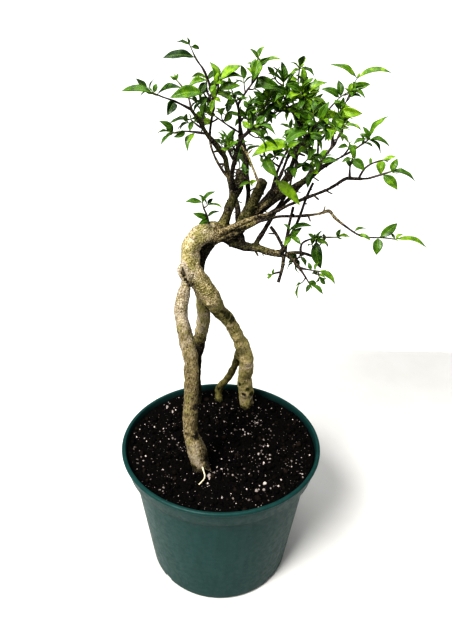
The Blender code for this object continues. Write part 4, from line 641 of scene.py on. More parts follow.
def blade(leaf, extra=0.0, start=0.0):
    """A leaf's closed thin solid: a narrow root, widest past the middle, folded along its rib and
    arched. It grows by extra on every side, to test for room, and can begin part of the way along."""
    base, tip, up, width, arch = leaf
    run = tip - base
    length = run.length
    side = run.cross(up).normalized()
    rib = up * (LEAF_THICKNESS / 2 + extra)
    stations = LARGE_STATIONS if length > LEAF_LARGE else SMALL_STATIONS

    def centre(t):
        return base + run * t + up * (4 * arch * length * t * (1 - t))

    points = [centre(start) + rib, centre(start) - rib]
    for t, share in stations:
        half = width / 2 * share + extra
        raised = centre(t) + up * (LEAF_FOLD * half)
        points += [raised - side * half, centre(t) + rib, raised + side * half, centre(t) - rib]
    points.append(tip + run.normalized() * extra)
    left, top, right, under = 2, 3, 4, 5
    faces = [(0, top, left), (0, left, 1), (1, left, under)]
    faces += [(0, right, top), (0, 1, right), (1, under, right)]
    for _ in stations[1:]:
        faces += [(left, top, top + 4), (left, top + 4, left + 4)]
        faces += [(left, under + 4, under), (left, left + 4, under + 4)]
        faces += [(right, top + 4, top), (right, right + 4, top + 4)]
        faces += [(right, under, under + 4), (right, under + 4, right + 4)]
        left, top, right, under = left + 4, top + 4, right + 4, under + 4
    end = len(points) - 1
    faces += [(left, top, end), (top, right, end), (right, under, end), (under, left, end)]
    return points, faces


def upright(along):
    """The direction square to a leaf's length that is nearest to straight up."""
    up = Vector((0, 0, 1)) - along * along.z
    return up.normalized() if up.length > 0.1 else across(along)


def leaf_root(centres, distance):
    """The place and the direction where a leaf leaves its twig, kept a little inside the twig's ends."""
    near, far = TWIG_ENDS
    return along_route(centres, max(near, min(route_length(centres) - far, distance)))


def spot_on(twig, place):
    """The point on a twig nearest to a place, where a leaf can grow."""
    centres = middles(twig)
    found = nearest_on(twig, place)[0]
    done = 0.0
    for a, b in zip(centres, centres[1:]):
        if abs((found - a).length + (b - found).length - (b - a).length) < 0.001:
            done += (found - a).length
            break
        done += (b - a).length
    return leaf_root(centres, done)[0]


def large_leaf(centres, twig, swing, entry):
    station, x, y, z, width, roll = entry
    base = spot_on(twig, along_route(centres, station * route_length(centres))[0])
    tip = Vector((x, y, z)) + Vector(swing) * station
    along = (tip - base).normalized()
    up = Quaternion(along, math.radians(roll)) @ upright(along)
    return base, tip, up, width, LEAF_ARCH


def filling_leaf(twig, station, turn, last, longest, draw):
    """One leaf of a pair, opening from its twig at an angle and held level where it can be."""
    centres = middles(twig)
    base, direction = leaf_root(centres, route_length(centres) * station)
    side = across(direction)
    outward = side * math.cos(math.radians(turn)) + side.cross(direction) * math.sin(math.radians(turn))
    spread = math.radians(draw.uniform(*(LAST_PAIR_SPREAD if last else PAIR_SPREAD)))
    length = longest * draw.uniform(*PAIR_LENGTHS)
    along = (direction * math.cos(spread) + outward * math.sin(spread)).normalized()
    up = direction * math.sin(spread) - outward * math.cos(spread) + Vector((0, 0, PAIR_LIFT))
    up = (up - along * up.dot(along)).normalized()
    return base, base + along * length, up, length * LEAF_ASPECT, draw.uniform(*PAIR_ARCHES)


def turned_leaf(leaf, yaw, pitch, roll, scale):
    base, tip, up, width, arch = leaf
    side = (tip - base).cross(up).normalized()
    spin = Quaternion(up, math.radians(yaw)) @ Quaternion(side, math.radians(pitch))
    run = spin @ (tip - base) * scale
    up = Quaternion(run.normalized(), math.radians(roll)) @ (spin @ up)
    return base, base + run, up, width * scale, arch


def leaf_tries():
    """How far a leaf may be turned and shortened to find room, the smallest changes first."""
    ways = [(0, 0, 2), (0, 0, -2), (0, 1, 0), (0, -1, 0), (1, 0, 0), (-1, 0, 0), (1, 1, 1), (-1, 1, -1),
            (1, -1, 0), (-1, -1, 0)]
    tries = [(0, 0, 0, 1.0)]
    for angle, scale in ((7, 1.0), (14, 0.96), (22, 0.9), (32, 0.84), (45, 0.76), (60, 0.7)):
        tries += [(yaw * angle, pitch * angle, roll * angle, scale) for yaw, pitch, roll in ways]
    return tries


class Room:
    """The solids placed so far, each with its owner, to keep the nodes clear of each other."""

    def __init__(self):
        self.placed = []

    def add(self, owner, solid):
        self.placed.append((owner, *self.reach(solid), BVHTree.FromPolygons(*solid)))

    def reach(self, solid):
        points = solid[0]
        centre = sum(points, Vector()) / len(points)
        return centre, max((p - centre).length for p in points)

    def is_clear(self, solid, apart_from):
        centre, radius = self.reach(solid)
        tree = BVHTree.FromPolygons(*solid)
        for owner, place, reach, tested in self.placed:
            if owner not in apart_from and (place - centre).length < radius + reach and tree.overlap(tested):
                return False
        return True


def widened(route, extra):
    return [(x, y, z, radius + extra) for x, y, z, radius in route]


def place_twig(name, room):
    """Swings a shoot aside, or lengthens its stub, until its twig is clear of the rest."""
    ways = ((0, -1, 0), (0, 1, 0), (0, 0, 1), (1, 0, 0), (-1, 0, 0), (0, 0, -1))
    swings = [(0, 0, 0)] + [tuple(reach * c for c in way) for reach in (3, 6, 9) for way in ways]
    for swing in swings:
        for stub_length in STUB_LENGTHS:
            centres, stub, twig = shoot_lines(name, swing, stub_length)
            if room.is_clear(tube(widened(twig, LEAF_GAP), TWIG_SIDES), ()):
                room.add(name + " stub", tube(stub, TWIG_SIDES))
                room.add(name + " twig", tube(twig, TWIG_SIDES))
                return swing, centres, stub, twig
    raise ValueError("no room for " + name)


def place_leaf(name, leaf, room, leaves):
    """Turns or shortens a leaf until it is clear of every other node and of its neighbours' blades."""
    for change in leaf_tries():
        tried = turned_leaf(leaf, *change)
        outer = blade(tried, LEAF_GAP, LEAF_CLEAR_FROM)
        if room.is_clear(outer, {name}) and room.is_clear(blade(tried), {name, name + " twig"}):
            room.add(name, blade(tried))
            room.add(name + " tips", blade(tried, 0.0, LEAF_CLEAR_FROM))
            leaves.append(tried)
            return
    print("left out a leaf of", name)


def grow():
    """Returns {shoot: (centre line, twig, leaves, side twigs)}, clear of the wood and the other shoots."""
    room = Room()
    for name in LIMBS:
        room.add("wood", tube(limb_route(name), limb_sides(name)))
    lines = {name: place_twig(name, room) for name in SHOOTS}
    grown = {name: (centres, twig, []) for name, (swing, centres, stub, twig) in lines.items()}
    for name, (swing, centres, stub, twig) in lines.items():
        for entry in SHOOTS[name][2]:
            place_leaf(name, large_leaf(centres, twig, swing, entry), room, grown[name][2])
    for index, (name, (centres, twig, leaves)) in enumerate(grown.items()):
        if not SHOOTS[name][3]:
            continue
        pairs, longest, turn = SHOOTS[name][3]
        draw = random.Random(LEAF_SEED + index)
        for pair in range(pairs):
            station = PAIRS_FROM + (1 - PAIRS_FROM) * pair / max(1, pairs - 1)
            for half in (0, 180):
                angle = turn + 90 * pair + half + draw.uniform(*PAIR_TURNS)
                leaf = filling_leaf(twig, station, angle, pair == pairs - 1, longest, draw)
                place_leaf(name, leaf, room, leaves)
    return {name: (*found, side_twigs(name, *found, room)) for name, found in grown.items()}


def side_route(twig, draw):
    """A short thin twig that leaves a shoot's own twig and bends up, as a route."""
    centres = middles(twig)
    base, direction = leaf_root(centres, route_length(centres) * draw.uniform(*SIDE_STATIONS))
    turn, spread = draw.uniform(0, 2 * math.pi), math.radians(draw.uniform(*SIDE_SPREAD))
    along = direction * math.cos(spread) + outward(direction, turn) * math.sin(spread)
    reach = draw.uniform(*SIDE_REACH)
    middle = base + along * reach * 0.5
    end = middle + (along + Vector((0, 0, 0.5))).normalized() * reach * 0.5
    thick, thin = SIDE_RADII
    return [(*base, thick), (*middle, (thick + thin) / 2), (*end, thin)]


def side_twigs(name, centres, twig, leaves, room):
    """Adds side twigs, each with a pair of small leaves and one at its end, where there is room."""
    draw = random.Random(f"{BUSHY_SEED} {name}")
    routes = []
    for _ in range(SHOOTS[name][4]):
        for _ in range(SIDE_TRIES):
            route = side_route(twig, draw)
            if room.is_clear(tube(widened(route, LEAF_GAP), TWIG_SIDES), {name + " twig", name + " stub"}):
                break
        else:
            continue
        room.add(name + " twig", tube(route, TWIG_SIDES))
        routes.append(route)
        turn = draw.uniform(0, 180)
        for station, angle, last in ((0.7, turn, False), (0.75, turn + 180, False), (1.0, turn + 90, True)):
            leaf = filling_leaf(route, station, angle, last, draw.uniform(*SIDE_LEAVES), draw)
            place_leaf(name, leaf, room, leaves)
    return routes


# Collecting meshes


class Shape:
    """Points, faces, four numbers that colour each point, and each face's material, for one piece."""

    def __init__(self):
        self.points, self.faces, self.looks, self.slots = [], [], [], []
        self.count = 0

    def add(self, points, faces, looks, slot=0):
        self.points.append(np.asarray(points, float).reshape(-1, 3))
        self.faces += [tuple(int(i) + self.count for i in face) for face in faces]
        self.looks.append(np.broadcast_to(np.asarray(looks, float), (len(points), 4)))
        self.slots += [slot] * len(faces)
        self.count += len(points)

    def make(self, name, materials):
        mesh = bpy.data.meshes.new(name)
        mesh.from_pydata(np.concatenate(self.points) * MM, [], self.faces)
        look = mesh.attributes.new("look", "FLOAT_COLOR", "POINT")
        look.data.foreach_set("color", np.concatenate(self.looks).ravel())
        mesh.polygons.foreach_set("material_index", self.slots)
        mesh.polygons.foreach_set("use_smooth", [True] * len(mesh.polygons))
        for material in materials:
            mesh.materials.append(material)
        mesh.update()
        thing = bpy.data.objects.new(name, mesh)
        bpy.context.scene.collection.objects.link(thing)
        return thing


def mesh_arrays(mesh):
    points = np.empty(len(mesh.vertices) * 3, np.float32)
    mesh.vertices.foreach_get("co", points)
    return points.reshape(-1, 3).astype(float) / MM, [tuple(face.vertices) for face in mesh.polygons]


def place_piece(piece, slot, *nodes):
    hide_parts(*nodes)
    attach(piece, "root")


# Wood


def fine_tube(route, sides, flutes=0.0, swell=0.0):
    """A closed tube with its ridges and small swellings, as points, faces and how far along each point is."""
    points, shares = [], []
    done, before = 0.0, None
    for (centre, side, other), (*_, radius) in zip(rings(route), route):
        done += (centre - before).length if before is not None else 0.0
        before = centre
        bump = 1 + swell * noise.noise(centre / 7)
        for k, (x, y) in enumerate(circle(1, sides)):
            angle = 2 * math.pi * k / sides
            wave = math.sin(3 * angle + 0.058 * done) + 0.8 * math.sin(2 * angle - 0.108 * done)
            points.append(centre + radius * (1 + flutes * wave) * bump * (x * side + y * other))
            shares.append(done)
    return points, tube_faces(len(route), sides), [share / done for share in shares]


def one_skin(tubes):
    """The outer skin of overlapping tubes, remeshed evenly, as points and faces."""
    whole = Shape()
    for points, faces, shares in tubes:
        whole.add(points, faces, (0, 0, 0, 0))
    rough = whole.make("rough_wood", [])
    skin = rough.modifiers.new("Skin", "REMESH")
    skin.mode = "VOXEL"
    skin.voxel_size = VOXEL * MM
    mesh = bpy.data.meshes.new_from_object(rough.evaluated_get(bpy.context.evaluated_depsgraph_get()))
    bpy.data.objects.remove(rough)
    return mesh_arrays(mesh)


def smoothed(points, faces, rounds):
    """Each point moved half of the way to the middle of its neighbours, a few times."""
    quads = np.array(faces)
    ends = np.concatenate([quads[:, [i, (i + 1) % 4]] for i in range(4)])
    count = np.bincount(ends[:, 0], minlength=len(points))[:, None]
    for _ in range(rounds):
        sums = [np.bincount(ends[:, 0], points[ends[:, 1], k], len(points)) for k in range(3)]
        points = (points + np.stack(sums, axis=1) / count) / 2
    return points


def point_normals(points, faces):
    quads = np.array(faces)
    square = np.cross(points[quads[:, 2]] - points[quads[:, 0]], points[quads[:, 3]] - points[quads[:, 1]])
    total = np.zeros_like(points)
    for i in range(4):
        np.add.at(total, quads[:, i], square)
    return total / np.linalg.norm(total, axis=1)[:, None]


def tone_at(name, share):
    """The tone of a limb's bark part of the way along it."""
    tones = LIMBS[name][1]
    return float(np.interp(share, np.linspace(0, 1, len(tones)), tones))


def limb_samples():
    """Places along every limb's middle with its radius, tone and olive, in a tree to look them up."""
    samples = []
    for name in LIMBS:
        route = limb_route(name, FINE_STEP)
        for i, (*place, radius) in enumerate(route):
            samples.append((place, radius, tone_at(name, i / len(route)), LIMBS[name][2]))
    tree = KDTree(len(samples))
    for i, sample in enumerate(samples):
        tree.insert(sample[0], i)
    tree.balance()
    return tree, samples


def limb_at(place, tree, samples):
    """The radius, tone and olive of the wood at a place on its skin, mixed where limbs meet."""
    total, mixed = 0.0, [0.0, 0.0, 0.0]
    for _, i, distance in tree.find_n(place, 9):
        weight = math.exp(-max(0.0, distance - samples[i][1]) / 1.5) + 1e-6
        total += weight
        mixed = [sum_ + weight * value for sum_, value in zip(mixed, samples[i][1:])]
    return [value / total for value in mixed]


def fade(distance, reach):
    """1 at a centre, 0 at its reach and beyond."""
    share = max(0.0, 1 - distance / reach)
    return share * share * (3 - 2 * share)


def bark_at(place, radius):
    """The bark's height at a place in millimetres and how deep in a crack it is, from 0 to 1."""
    size = min(1.0, radius / 6)
    cell = Vector([c / s for c, s in zip(place, BARK_CELL)])
    near, next_near = noise.voronoi(cell + 0.35 * noise.noise_vector(place / 4))[0][:2]
    crack = 1 - min(1.0, (next_near - near) / 0.34)
    height = size * (1.1 * noise.noise(place / KNOB_SIZE) + 0.42 * (0.45 - crack))
    height += (0.3 + 0.7 * size) * 0.34 * noise.noise(place / GRAIN_SIZE)
    for x, y, z, reach, rise in WRINKLES:
        share = fade((place - Vector((x, y, z))).length, reach)
        if share:
            turn = place.z - 0.6 * place.x + 1.4 * noise.noise(place / 5)
            height += rise * share * math.sin(2 * math.pi * turn / WRINKLE_PITCH)
    return height, crack


def stained_and_shaded(place, tone):
    """The tone of the bark with its dark stains and painted shade, and with painted contact shade on the foot
    of each root, where it goes into the soil.
    """
    # Painted contact shade: the bark darkens towards the soil line
    coverage = min(1.0, max(0.0, (FOOT_SHADE_LEVEL - place.z + 3 * noise.noise(place / 2.5)) / 4))
    tone = max(tone, tone + (0.95 - tone) * coverage)
    for x, y, z, reach, dark in STAINS_AND_SHADE:
        offset = place - Vector((x, y, z))
        share = fade(offset.length * (1 + 0.5 * noise.noise(place / 3)), reach)
        tone = max(tone, tone + (dark - tone) * min(1.0, 1.6 * share))
    return tone


def cream_highlight(place):
    """How cream the wood is under its painted highlights."""
    ragged = 1 + 0.8 * noise.noise(place / 1.8)
    return max(share * fade((place - Vector((x, y, z))).length * ragged, reach)
               for x, y, z, reach, share in CREAM_HIGHLIGHTS)


def spur_routes():
    """Short dead spurs and swollen bud scars along the limbs above the crown."""
    draw = random.Random(SPUR_SEED)
    routes = []
    for name in LIMBS:
        if name in PEG_RADII or name.endswith(("flare", "root", "knob")):
            continue
        line = smooth_route(LIMBS[name][0], FINE_STEP)
        place_at = draw.uniform(6, 14)
        centres = middles(line)
        while place_at < route_length(centres) - 2:
            place, along = along_route(centres, place_at)
            radius = nearest_on(line, place)[1]
            away = outward(along, draw.uniform(0, 2 * math.pi))
            reach = radius + draw.choice(SPUR_REACHES)
            end = place + (away + along * draw.uniform(0.2, 0.9)).normalized() * reach
            thick = min(radius * 0.8, draw.uniform(*SPUR_RADII))
            routes.append((name, place_at / route_length(centres), [(*place, thick), (*end, thick * 0.7)]))
            place_at += draw.uniform(*SPUR_GAPS)
    return routes


def make_wood(bark):
    """The roots, the trunk and the limbs: thick wood in one skin with its bark in relief, and thin wood as
    tubes."""
    noise.seed_set(NOISE_SEED)
    tree, samples = limb_samples()
    thick, thin = [], []
    for name in LIMBS:
        flutes = FLUTE_DEPTH if name in PEG_RADII else 0.0
        route = limb_route(name, FINE_STEP)
        if widest(name) > THIN_LIMB:
            thick.append(fine_tube(route, max(12, round(5 * widest(name))), flutes, 0.1))
        else:
            thin.append((name, fine_tube(route, 10, 0.0, 0.25)))
    for name, share, route in spur_routes():
        points, faces, shares = fine_tube(smooth_route(route, FINE_STEP), 7, 0.0, 0.3)
        thin.append((name, (points, faces, [share] * len(points))))
    shape = Shape()
    points, faces = one_skin(thick)
    points = smoothed(points, faces, 2)
    normals = point_normals(points, faces)
    # Painted shade: how far each point lies sunk below its smoothed neighbours, to darken the crevices
    # between limbs
    hollows = ((smoothed(points, faces, HOLLOW_ROUNDS) - points) * normals).sum(axis=1)
    looks = []
    for i, point in enumerate(points):
        place = Vector(point)
        radius, tone, olive = limb_at(place, tree, samples)
        height, crack = bark_at(place, radius)
        points[i] += height * normals[i]
        hollow = min(1.0, max(0.0, (hollows[i] - HOLLOW_FROM) / HOLLOW_DEPTH))
        # Painted shade: skin that faces down is darkened, more on dark wood than on pale
        pale_share, dark_share = UNDERSIDE_SHADE
        under = (pale_share + (dark_share - pale_share) * tone) * max(0.0, -normals[i][2])
        looks.append((stained_and_shaded(place, tone), max(CRACK_SHARE * crack + under, hollow), cream_highlight(place), olive))
    shape.add(points, faces, looks)
    for name, (points, faces, shares) in thin:
        cream = 1.0 if name == "feeder_root" else 0.0
        shape.add(points, faces, [(tone_at(name, share), 0.2, cream, LIMBS[name][2]) for share in shares])
    wood = shape.make("bonsai_wood", [bark])
    place_piece(wood, "bark", "trunk_and_roots")
    return wood


# Shoots


def leaf_share(t):
    """A leaf's half width along its blade, as a share of the widest: a round foot and a pointed tip."""
    foot, tip = 0.75, 1.05
    peak = foot / (foot + tip)
    return (t / peak) ** foot * ((1 - t) / (1 - peak)) ** tip if 0 < t < 1 else 0.0


def fine_leaf(leaf, draw):
    """A leaf with its stalk, folded along its rib, waved along its edges and bent, as points, faces and where
    each point lies: across from 0 to 1, along from 0 to 1, and whether it is underneath."""
    base, tip, up, width, arch = leaf
    run = tip - base
    length = run.length
    side = run.cross(up).normalized()
    waves, phase = draw.uniform(*LEAF_WAVES), draw.uniform(0, 2 * math.pi)
    ripple = draw.uniform(*LEAF_RIPPLES)
    twist = math.radians(draw.uniform(*LEAF_TWISTS))
    bow = draw.uniform(*LEAF_BOWS) * length
    fold = LEAF_FOLD * draw.uniform(*LEAF_FOLDS)
    droop = draw.uniform(*LEAF_DROOPS) * length
    ring = 2 * (LEAF_COLUMNS - 1)
    points, marks = [], []
    for row in range(LEAF_ROWS):
        t = row / (LEAF_ROWS - 1)
        blade_t = max(0.0, (t - PETIOLE_SHARE) / (1 - PETIOLE_SHARE))
        half = max(0.38 * (1 - t), width / 2 * leaf_share(blade_t))
        turn = twist * (t - 0.4)
        sideways = side * math.cos(turn) + up * math.sin(turn)
        upwards = up * math.cos(turn) - side * math.sin(turn)
        rise = 4 * arch * length * t * (1 - t) - droop * t**3
        centre = base + run * t + up * rise + side * (bow * math.sin(math.pi * t))
        for k in range(ring):
            under = k > LEAF_COLUMNS - 1
            column = ring - k if under else k
            u = 2 * column / (LEAF_COLUMNS - 1) - 1
            lift = fold * half * (abs(u) ** 1.3)
            swing = math.sin(2 * math.pi * waves * t + phase + (1.9 if u > 0 else 0))
            lift += ripple * half * u * u * swing
            skin = LEAF_SKIN / 2 * math.sqrt(max(0.0, 1 - u * u)) + 0.02
            place = centre + sideways * (u * half) + upwards * (lift + (-skin if under else skin))
            points.append(place)
            marks.append(((u + 1) / 2, t, 1.0 if under else 0.5 if abs(u) == 1 else 0.0))
    faces = ring_faces(LEAF_ROWS, ring, 0, True)
    faces += [tuple(range(ring)), tuple(reversed(range(len(points) - ring, len(points))))]
    return points, faces, marks


def bud_leaves(twig, draw):
    """Two or three very small young leaves that open at the twig's tip."""
    tip = Vector(twig[-1][:3])
    along = (tip - Vector(twig[-2][:3])).normalized()
    turn = draw.uniform(0, math.pi)
    found = []
    for k in range(draw.choice((2, 3))):
        away = outward(along, turn + 2.2 * k)
        length = draw.uniform(*BUD_LENGTHS)
        run = (along + away * draw.uniform(0.3, 0.8)).normalized() * length
        up = (away.cross(run)).cross(run).normalized()
        found.append((tip - along * 0.5, tip + run, -up, length * 0.36, 0.06))
    return found


def make_shoot(name, centres, leaves, twig, sides, draw, materials):
    """One leafy shoot, whose twig runs on from inside its limb."""
    shape = Shape()
    thick, thin = FINE_TWIG_RADII
    steps = max(4, round(route_length(centres) / 1.6))
    total = route_length(centres)
    line = [along_route(centres, total * k / steps)[0] for k in range(steps + 1)]
    route = [(*p, thick + (thin - thick) * k / steps) for k, p in enumerate(line)]
    points, faces, shares = fine_tube(route, FINE_TWIG_SIDES, 0.0, 0.5)
    shape.add(points, faces, [(0.0, share, 0.0, 0.0) for share in shares], 0)
    for side in sides:
        points, faces, shares = fine_tube(smooth_route(side, SIDE_STEP), FINE_TWIG_SIDES, 0.0, 0.4)
        shape.add(points, faces, [(0.0, 0.4 + 0.6 * share, 0.0, 0.0) for share in shares], 0)
    # The shoot's brightness is partly its leaves' age and partly painted light
    tint = SHOOTS[name][5]
    for leaf in leaves:
        young = SMALL_LEAF_TINT if (leaf[1] - leaf[0]).length < LEAF_LARGE else 0.0
        hue = min(1.0, max(0.0, draw.gauss(tint + young, TINT_SPREAD)))
        points, faces, marks = fine_leaf(leaf, draw)
        shape.add(points, faces, [(u, t, hue, under) for u, t, under in marks], 1)
    for leaf in bud_leaves(twig, draw):
        points, faces, marks = fine_leaf(leaf, draw)
        hue = min(1.0, tint + draw.uniform(*BUD_TINTS))
        shape.add(points, faces, [(u, t, hue, under) for u, t, under in marks], 1)
    piece = shape.make("leafy_" + name, materials)
    place_piece(piece, "leaf", "shoot_" + name)


def make_shoots(twig_bark, leaf_green):
    for index, (name, (centres, twig, leaves, sides)) in enumerate(grow().items()):
        draw = random.Random(LEAF_SEED + 100 + index)
        make_shoot(name, centres, leaves, twig, sides, draw, [twig_bark, leaf_green])


# Soil


def soil_height(x, y):
    """The crumbly surface's height at a place, in millimetres."""
    first, second, third = SOIL_WAVES
    lumps = math.sin(x / first + 0.8) * math.cos(y / second) + 0.6 * math.sin((x + 1.7 * y) / third)
    return SOIL_LEVEL + SOIL_RELIEF * lumps / 1.6


def crumbs_at(x, y):
    """The fine relief of the loose mix at a place, in millimetres."""
    near, next_near = noise.voronoi(Vector((x / 3.6, y / 3.6, 0)))[0][:2]
    small, next_small = noise.voronoi(Vector((x / 1.7, y / 1.7, 5)))[0][:2]
    relief = 1.5 * min(1.0, 1.6 * (next_near - near)) + 0.7 * min(1.0, 1.6 * (next_small - small)) - 1.1
    return relief + 0.5 * noise.noise(Vector((x / 1.1, y / 1.1, 0)))


def ground(x, y):
    """The finished surface, with its crumbs and the soil heaped a little against the pot's wall."""
    share = max(0.0, math.hypot(x, y) - EDGE_FROM) / (SOIL_RADIUS - EDGE_FROM)
    return soil_height(x, y) + crumbs_at(x, y) + EDGE_RISE * share * share


def clod(ball, place, size, draw):
    """A small uneven lump about size across, as points and faces."""
    points, faces = ball
    stretch = [draw.uniform(0.65, 1.2) for _ in range(3)]
    spin = Quaternion(Vector([draw.gauss(0, 1) for _ in range(3)]).normalized(), draw.uniform(0, math.pi))
    offset = Vector([draw.uniform(0, 50) for _ in range(3)])
    moved = []
    for point in points:
        radius = size / 2 * (1 + 0.55 * noise.noise(point * 1.6 + offset))
        moved.append(place + spin @ Vector([c * s for c, s in zip(point * radius, stretch)]))
    return moved, faces


def ball_faces(rounds):
    """A ball of one unit's radius from a twenty-sided solid, divided a few times."""
    ball = bmesh.new()
    bmesh.ops.create_icosphere(ball, subdivisions=rounds, radius=1.0)
    points = [vertex.co.copy() for vertex in ball.verts]
    faces = [tuple(vertex.index for vertex in face.verts) for face in ball.faces]
    ball.free()
    return points, faces


def scattered(draw, count, smallest, largest, skew):
    """Places and sizes of grains over the soil, small ones more often."""
    found = []
    for _ in range(count):
        radius = (SOIL_RADIUS - 2) * math.sqrt(draw.random())
        angle = draw.uniform(0, 2 * math.pi)
        x, y = radius * math.cos(angle), radius * math.sin(angle)
        size = smallest + (largest - smallest) * draw.random() ** skew
        z = ground(x, y) + 0.18 * size
        found.append((Vector((x, y, z)), size))
    return found


def make_soil(soil_dark, perlite_white):
    draw = random.Random(GRAIN_SEED)
    ball = ball_faces(2)
    bed = Shape()
    points = [Vector((0, 0, ground(0, 0)))]
    n = SOIL_SECTORS
    for ring in range(1, SOIL_RINGS + 1):
        points += [Vector((x, y, ground(x, y))) for x, y in circle(SOIL_RADIUS * ring / SOIL_RINGS, n)]
    for radius, z in SOIL_SIDES:
        points += [Vector((x, y, z)) for x, y in circle(radius, n)]
    faces = [(0, 1 + k, 1 + (k + 1) % n) for k in range(n)]
    faces += ring_faces(SOIL_RINGS + len(SOIL_SIDES), n, 1, True)
    faces.append(tuple(reversed(range(len(points) - n, len(points)))))
    bed.add(points, faces, (0.3, 0, 0, 0))
    for place, size in scattered(draw, *CLUMPS):
        points, faces = clod(ball, place, size, draw)
        bed.add(points, faces, (draw.uniform(0, 1), 0, 0, 0))
    place_piece(bed.make("soil_bed", [soil_dark]), "soil", "soil")
    grains = Shape()
    for place, size in scattered(draw, *PERLITE):
        points, faces = clod(ball, place - Vector((0, 0, 0.25 * size)), size, draw)
        grains.add(points, faces, (draw.random() ** 2.6, 0, 0, 0))
    for x, y, count, spread, largest in PERLITE_HEAPS:
        for _ in range(count):
            place = Vector((x + draw.gauss(0, spread / 2), y + draw.gauss(0, spread / 2), 0))
            place.z = ground(place.x, place.y) + 0.5
            points, faces = clod(ball, place, draw.uniform(0.4, 1) * largest, draw)
            grains.add(points, faces, (draw.uniform(0.05, 0.8), 0, 0, 0))
    place_piece(grains.make("perlite_grains", [perlite_white]), "soil", "soil")


# Pot


def arc(centre, radius, start, end, steps):
    """Points (r, z) on an arc, with angles in degrees from straight out towards up."""
    r, z = centre
    angles = [math.radians(start + (end - start) * k / steps) for k in range(steps + 1)]
    return [(r + radius * math.cos(a), z + radius * math.sin(a)) for a in angles]


def pot_outline():
    """The pot's section as a closed loop of (radius, z), from its foot's middle up and back down inside."""
    band_foot = POT_HEIGHT - BAND_HEIGHT
    lip_foot = POT_HEIGHT - LIP_HEIGHT
    foot = BODY_FOOT_RADIUS - FOOT_CORNER
    outside = [(0.0, 0.0), (foot - 8, 0.0)]
    outside += arc((foot, FOOT_CORNER), FOOT_CORNER, -90, -7, 6)
    for share in (0.04, 0.08, 0.3, 0.6, 0.9):
        z = FOOT_CORNER + (band_foot - 3 - FOOT_CORNER) * share
        outside.append((BODY_FOOT_RADIUS + (BODY_TOP_RADIUS - BODY_FOOT_RADIUS) * share, z))
    outside += [(BODY_TOP_RADIUS, band_foot - 3), (BODY_TOP_RADIUS + 0.5, band_foot - 1.4)]
    outside += [(BODY_TOP_RADIUS + 1.6, band_foot - 0.5), (BAND_FOOT_RADIUS - 0.7, band_foot)]
    outside += [(BAND_FOOT_RADIUS, band_foot + 0.7), (BAND_TOP_RADIUS - 0.1, lip_foot - 0.6)]
    outside += arc((LIP_RADIUS - 2.0, POT_HEIGHT - 2.0), 2.0, -75, 90, 9)
    inside = [(LIP_RADIUS - LIP_WIDTH + 0.7, POT_HEIGHT - 0.5), (LIP_RADIUS - LIP_WIDTH, POT_HEIGHT - 2)]
    inside += [(BAND_FOOT_RADIUS - WALL, band_foot + 1.5), (BODY_TOP_RADIUS - WALL, band_foot - 1.5)]
    inside += [(BODY_FOOT_RADIUS - WALL, 7.4), (foot, 2.4), (0.0, 2.4)]
    return outside + inside


def make_pot(plastic):
    outline = pot_outline()
    last = len(outline) - 1
    points = [(0.0, 0.0, outline[0][1]), (0.0, 0.0, outline[-1][1])]
    for k in range(POT_SEGMENTS):
        angle = 2 * math.pi * k / POT_SEGMENTS
        points += [(r * math.cos(angle), r * math.sin(angle), z) for r, z in outline[1:-1]]
    faces, n = [], last - 1
    for k in range(POT_SEGMENTS):
        a, b = 2 + k * n, 2 + (k + 1) % POT_SEGMENTS * n
        faces += [(0, b, a), (1, a + n - 1, b + n - 1)]
        faces += [(a + i, b + i, b + i + 1, a + i + 1) for i in range(n - 1)]
    shape = Shape()
    shape.add(points, faces, (0, 0, 0, 0))
    pot = shape.make("nursery_pot", [plastic])
    cutters = []
    for i in range(DRAIN_COUNT):
        angle = 2 * math.pi * (i + 0.5) / DRAIN_COUNT
        x, y = DRAIN_CIRCLE * math.cos(angle), DRAIN_CIRCLE * math.sin(angle)
        solid = tube([(x, y, z, DRAIN_RADIUS) for z in (-DRAIN_HEIGHT, DRAIN_HEIGHT)], 24)
        cutter = Shape()
        cutter.add(*solid, (0, 0, 0, 0))
        cutters.append(cutter.make(f"drain_cutter_{i}", [plastic]))
        cut = pot.modifiers.new(f"Drain {i}", "BOOLEAN")
        cut.operation = "DIFFERENCE"
        cut.object = cutters[-1]
    mesh = bpy.data.meshes.new_from_object(pot.evaluated_get(bpy.context.evaluated_depsgraph_get()))
    pot.modifiers.clear()
    pot.data = mesh
    for cutter in cutters:
        bpy.data.objects.remove(cutter)
    mesh.set_sharp_from_angle(angle=math.radians(40))
    place_piece(pot, "pot", "pot")


# Materials


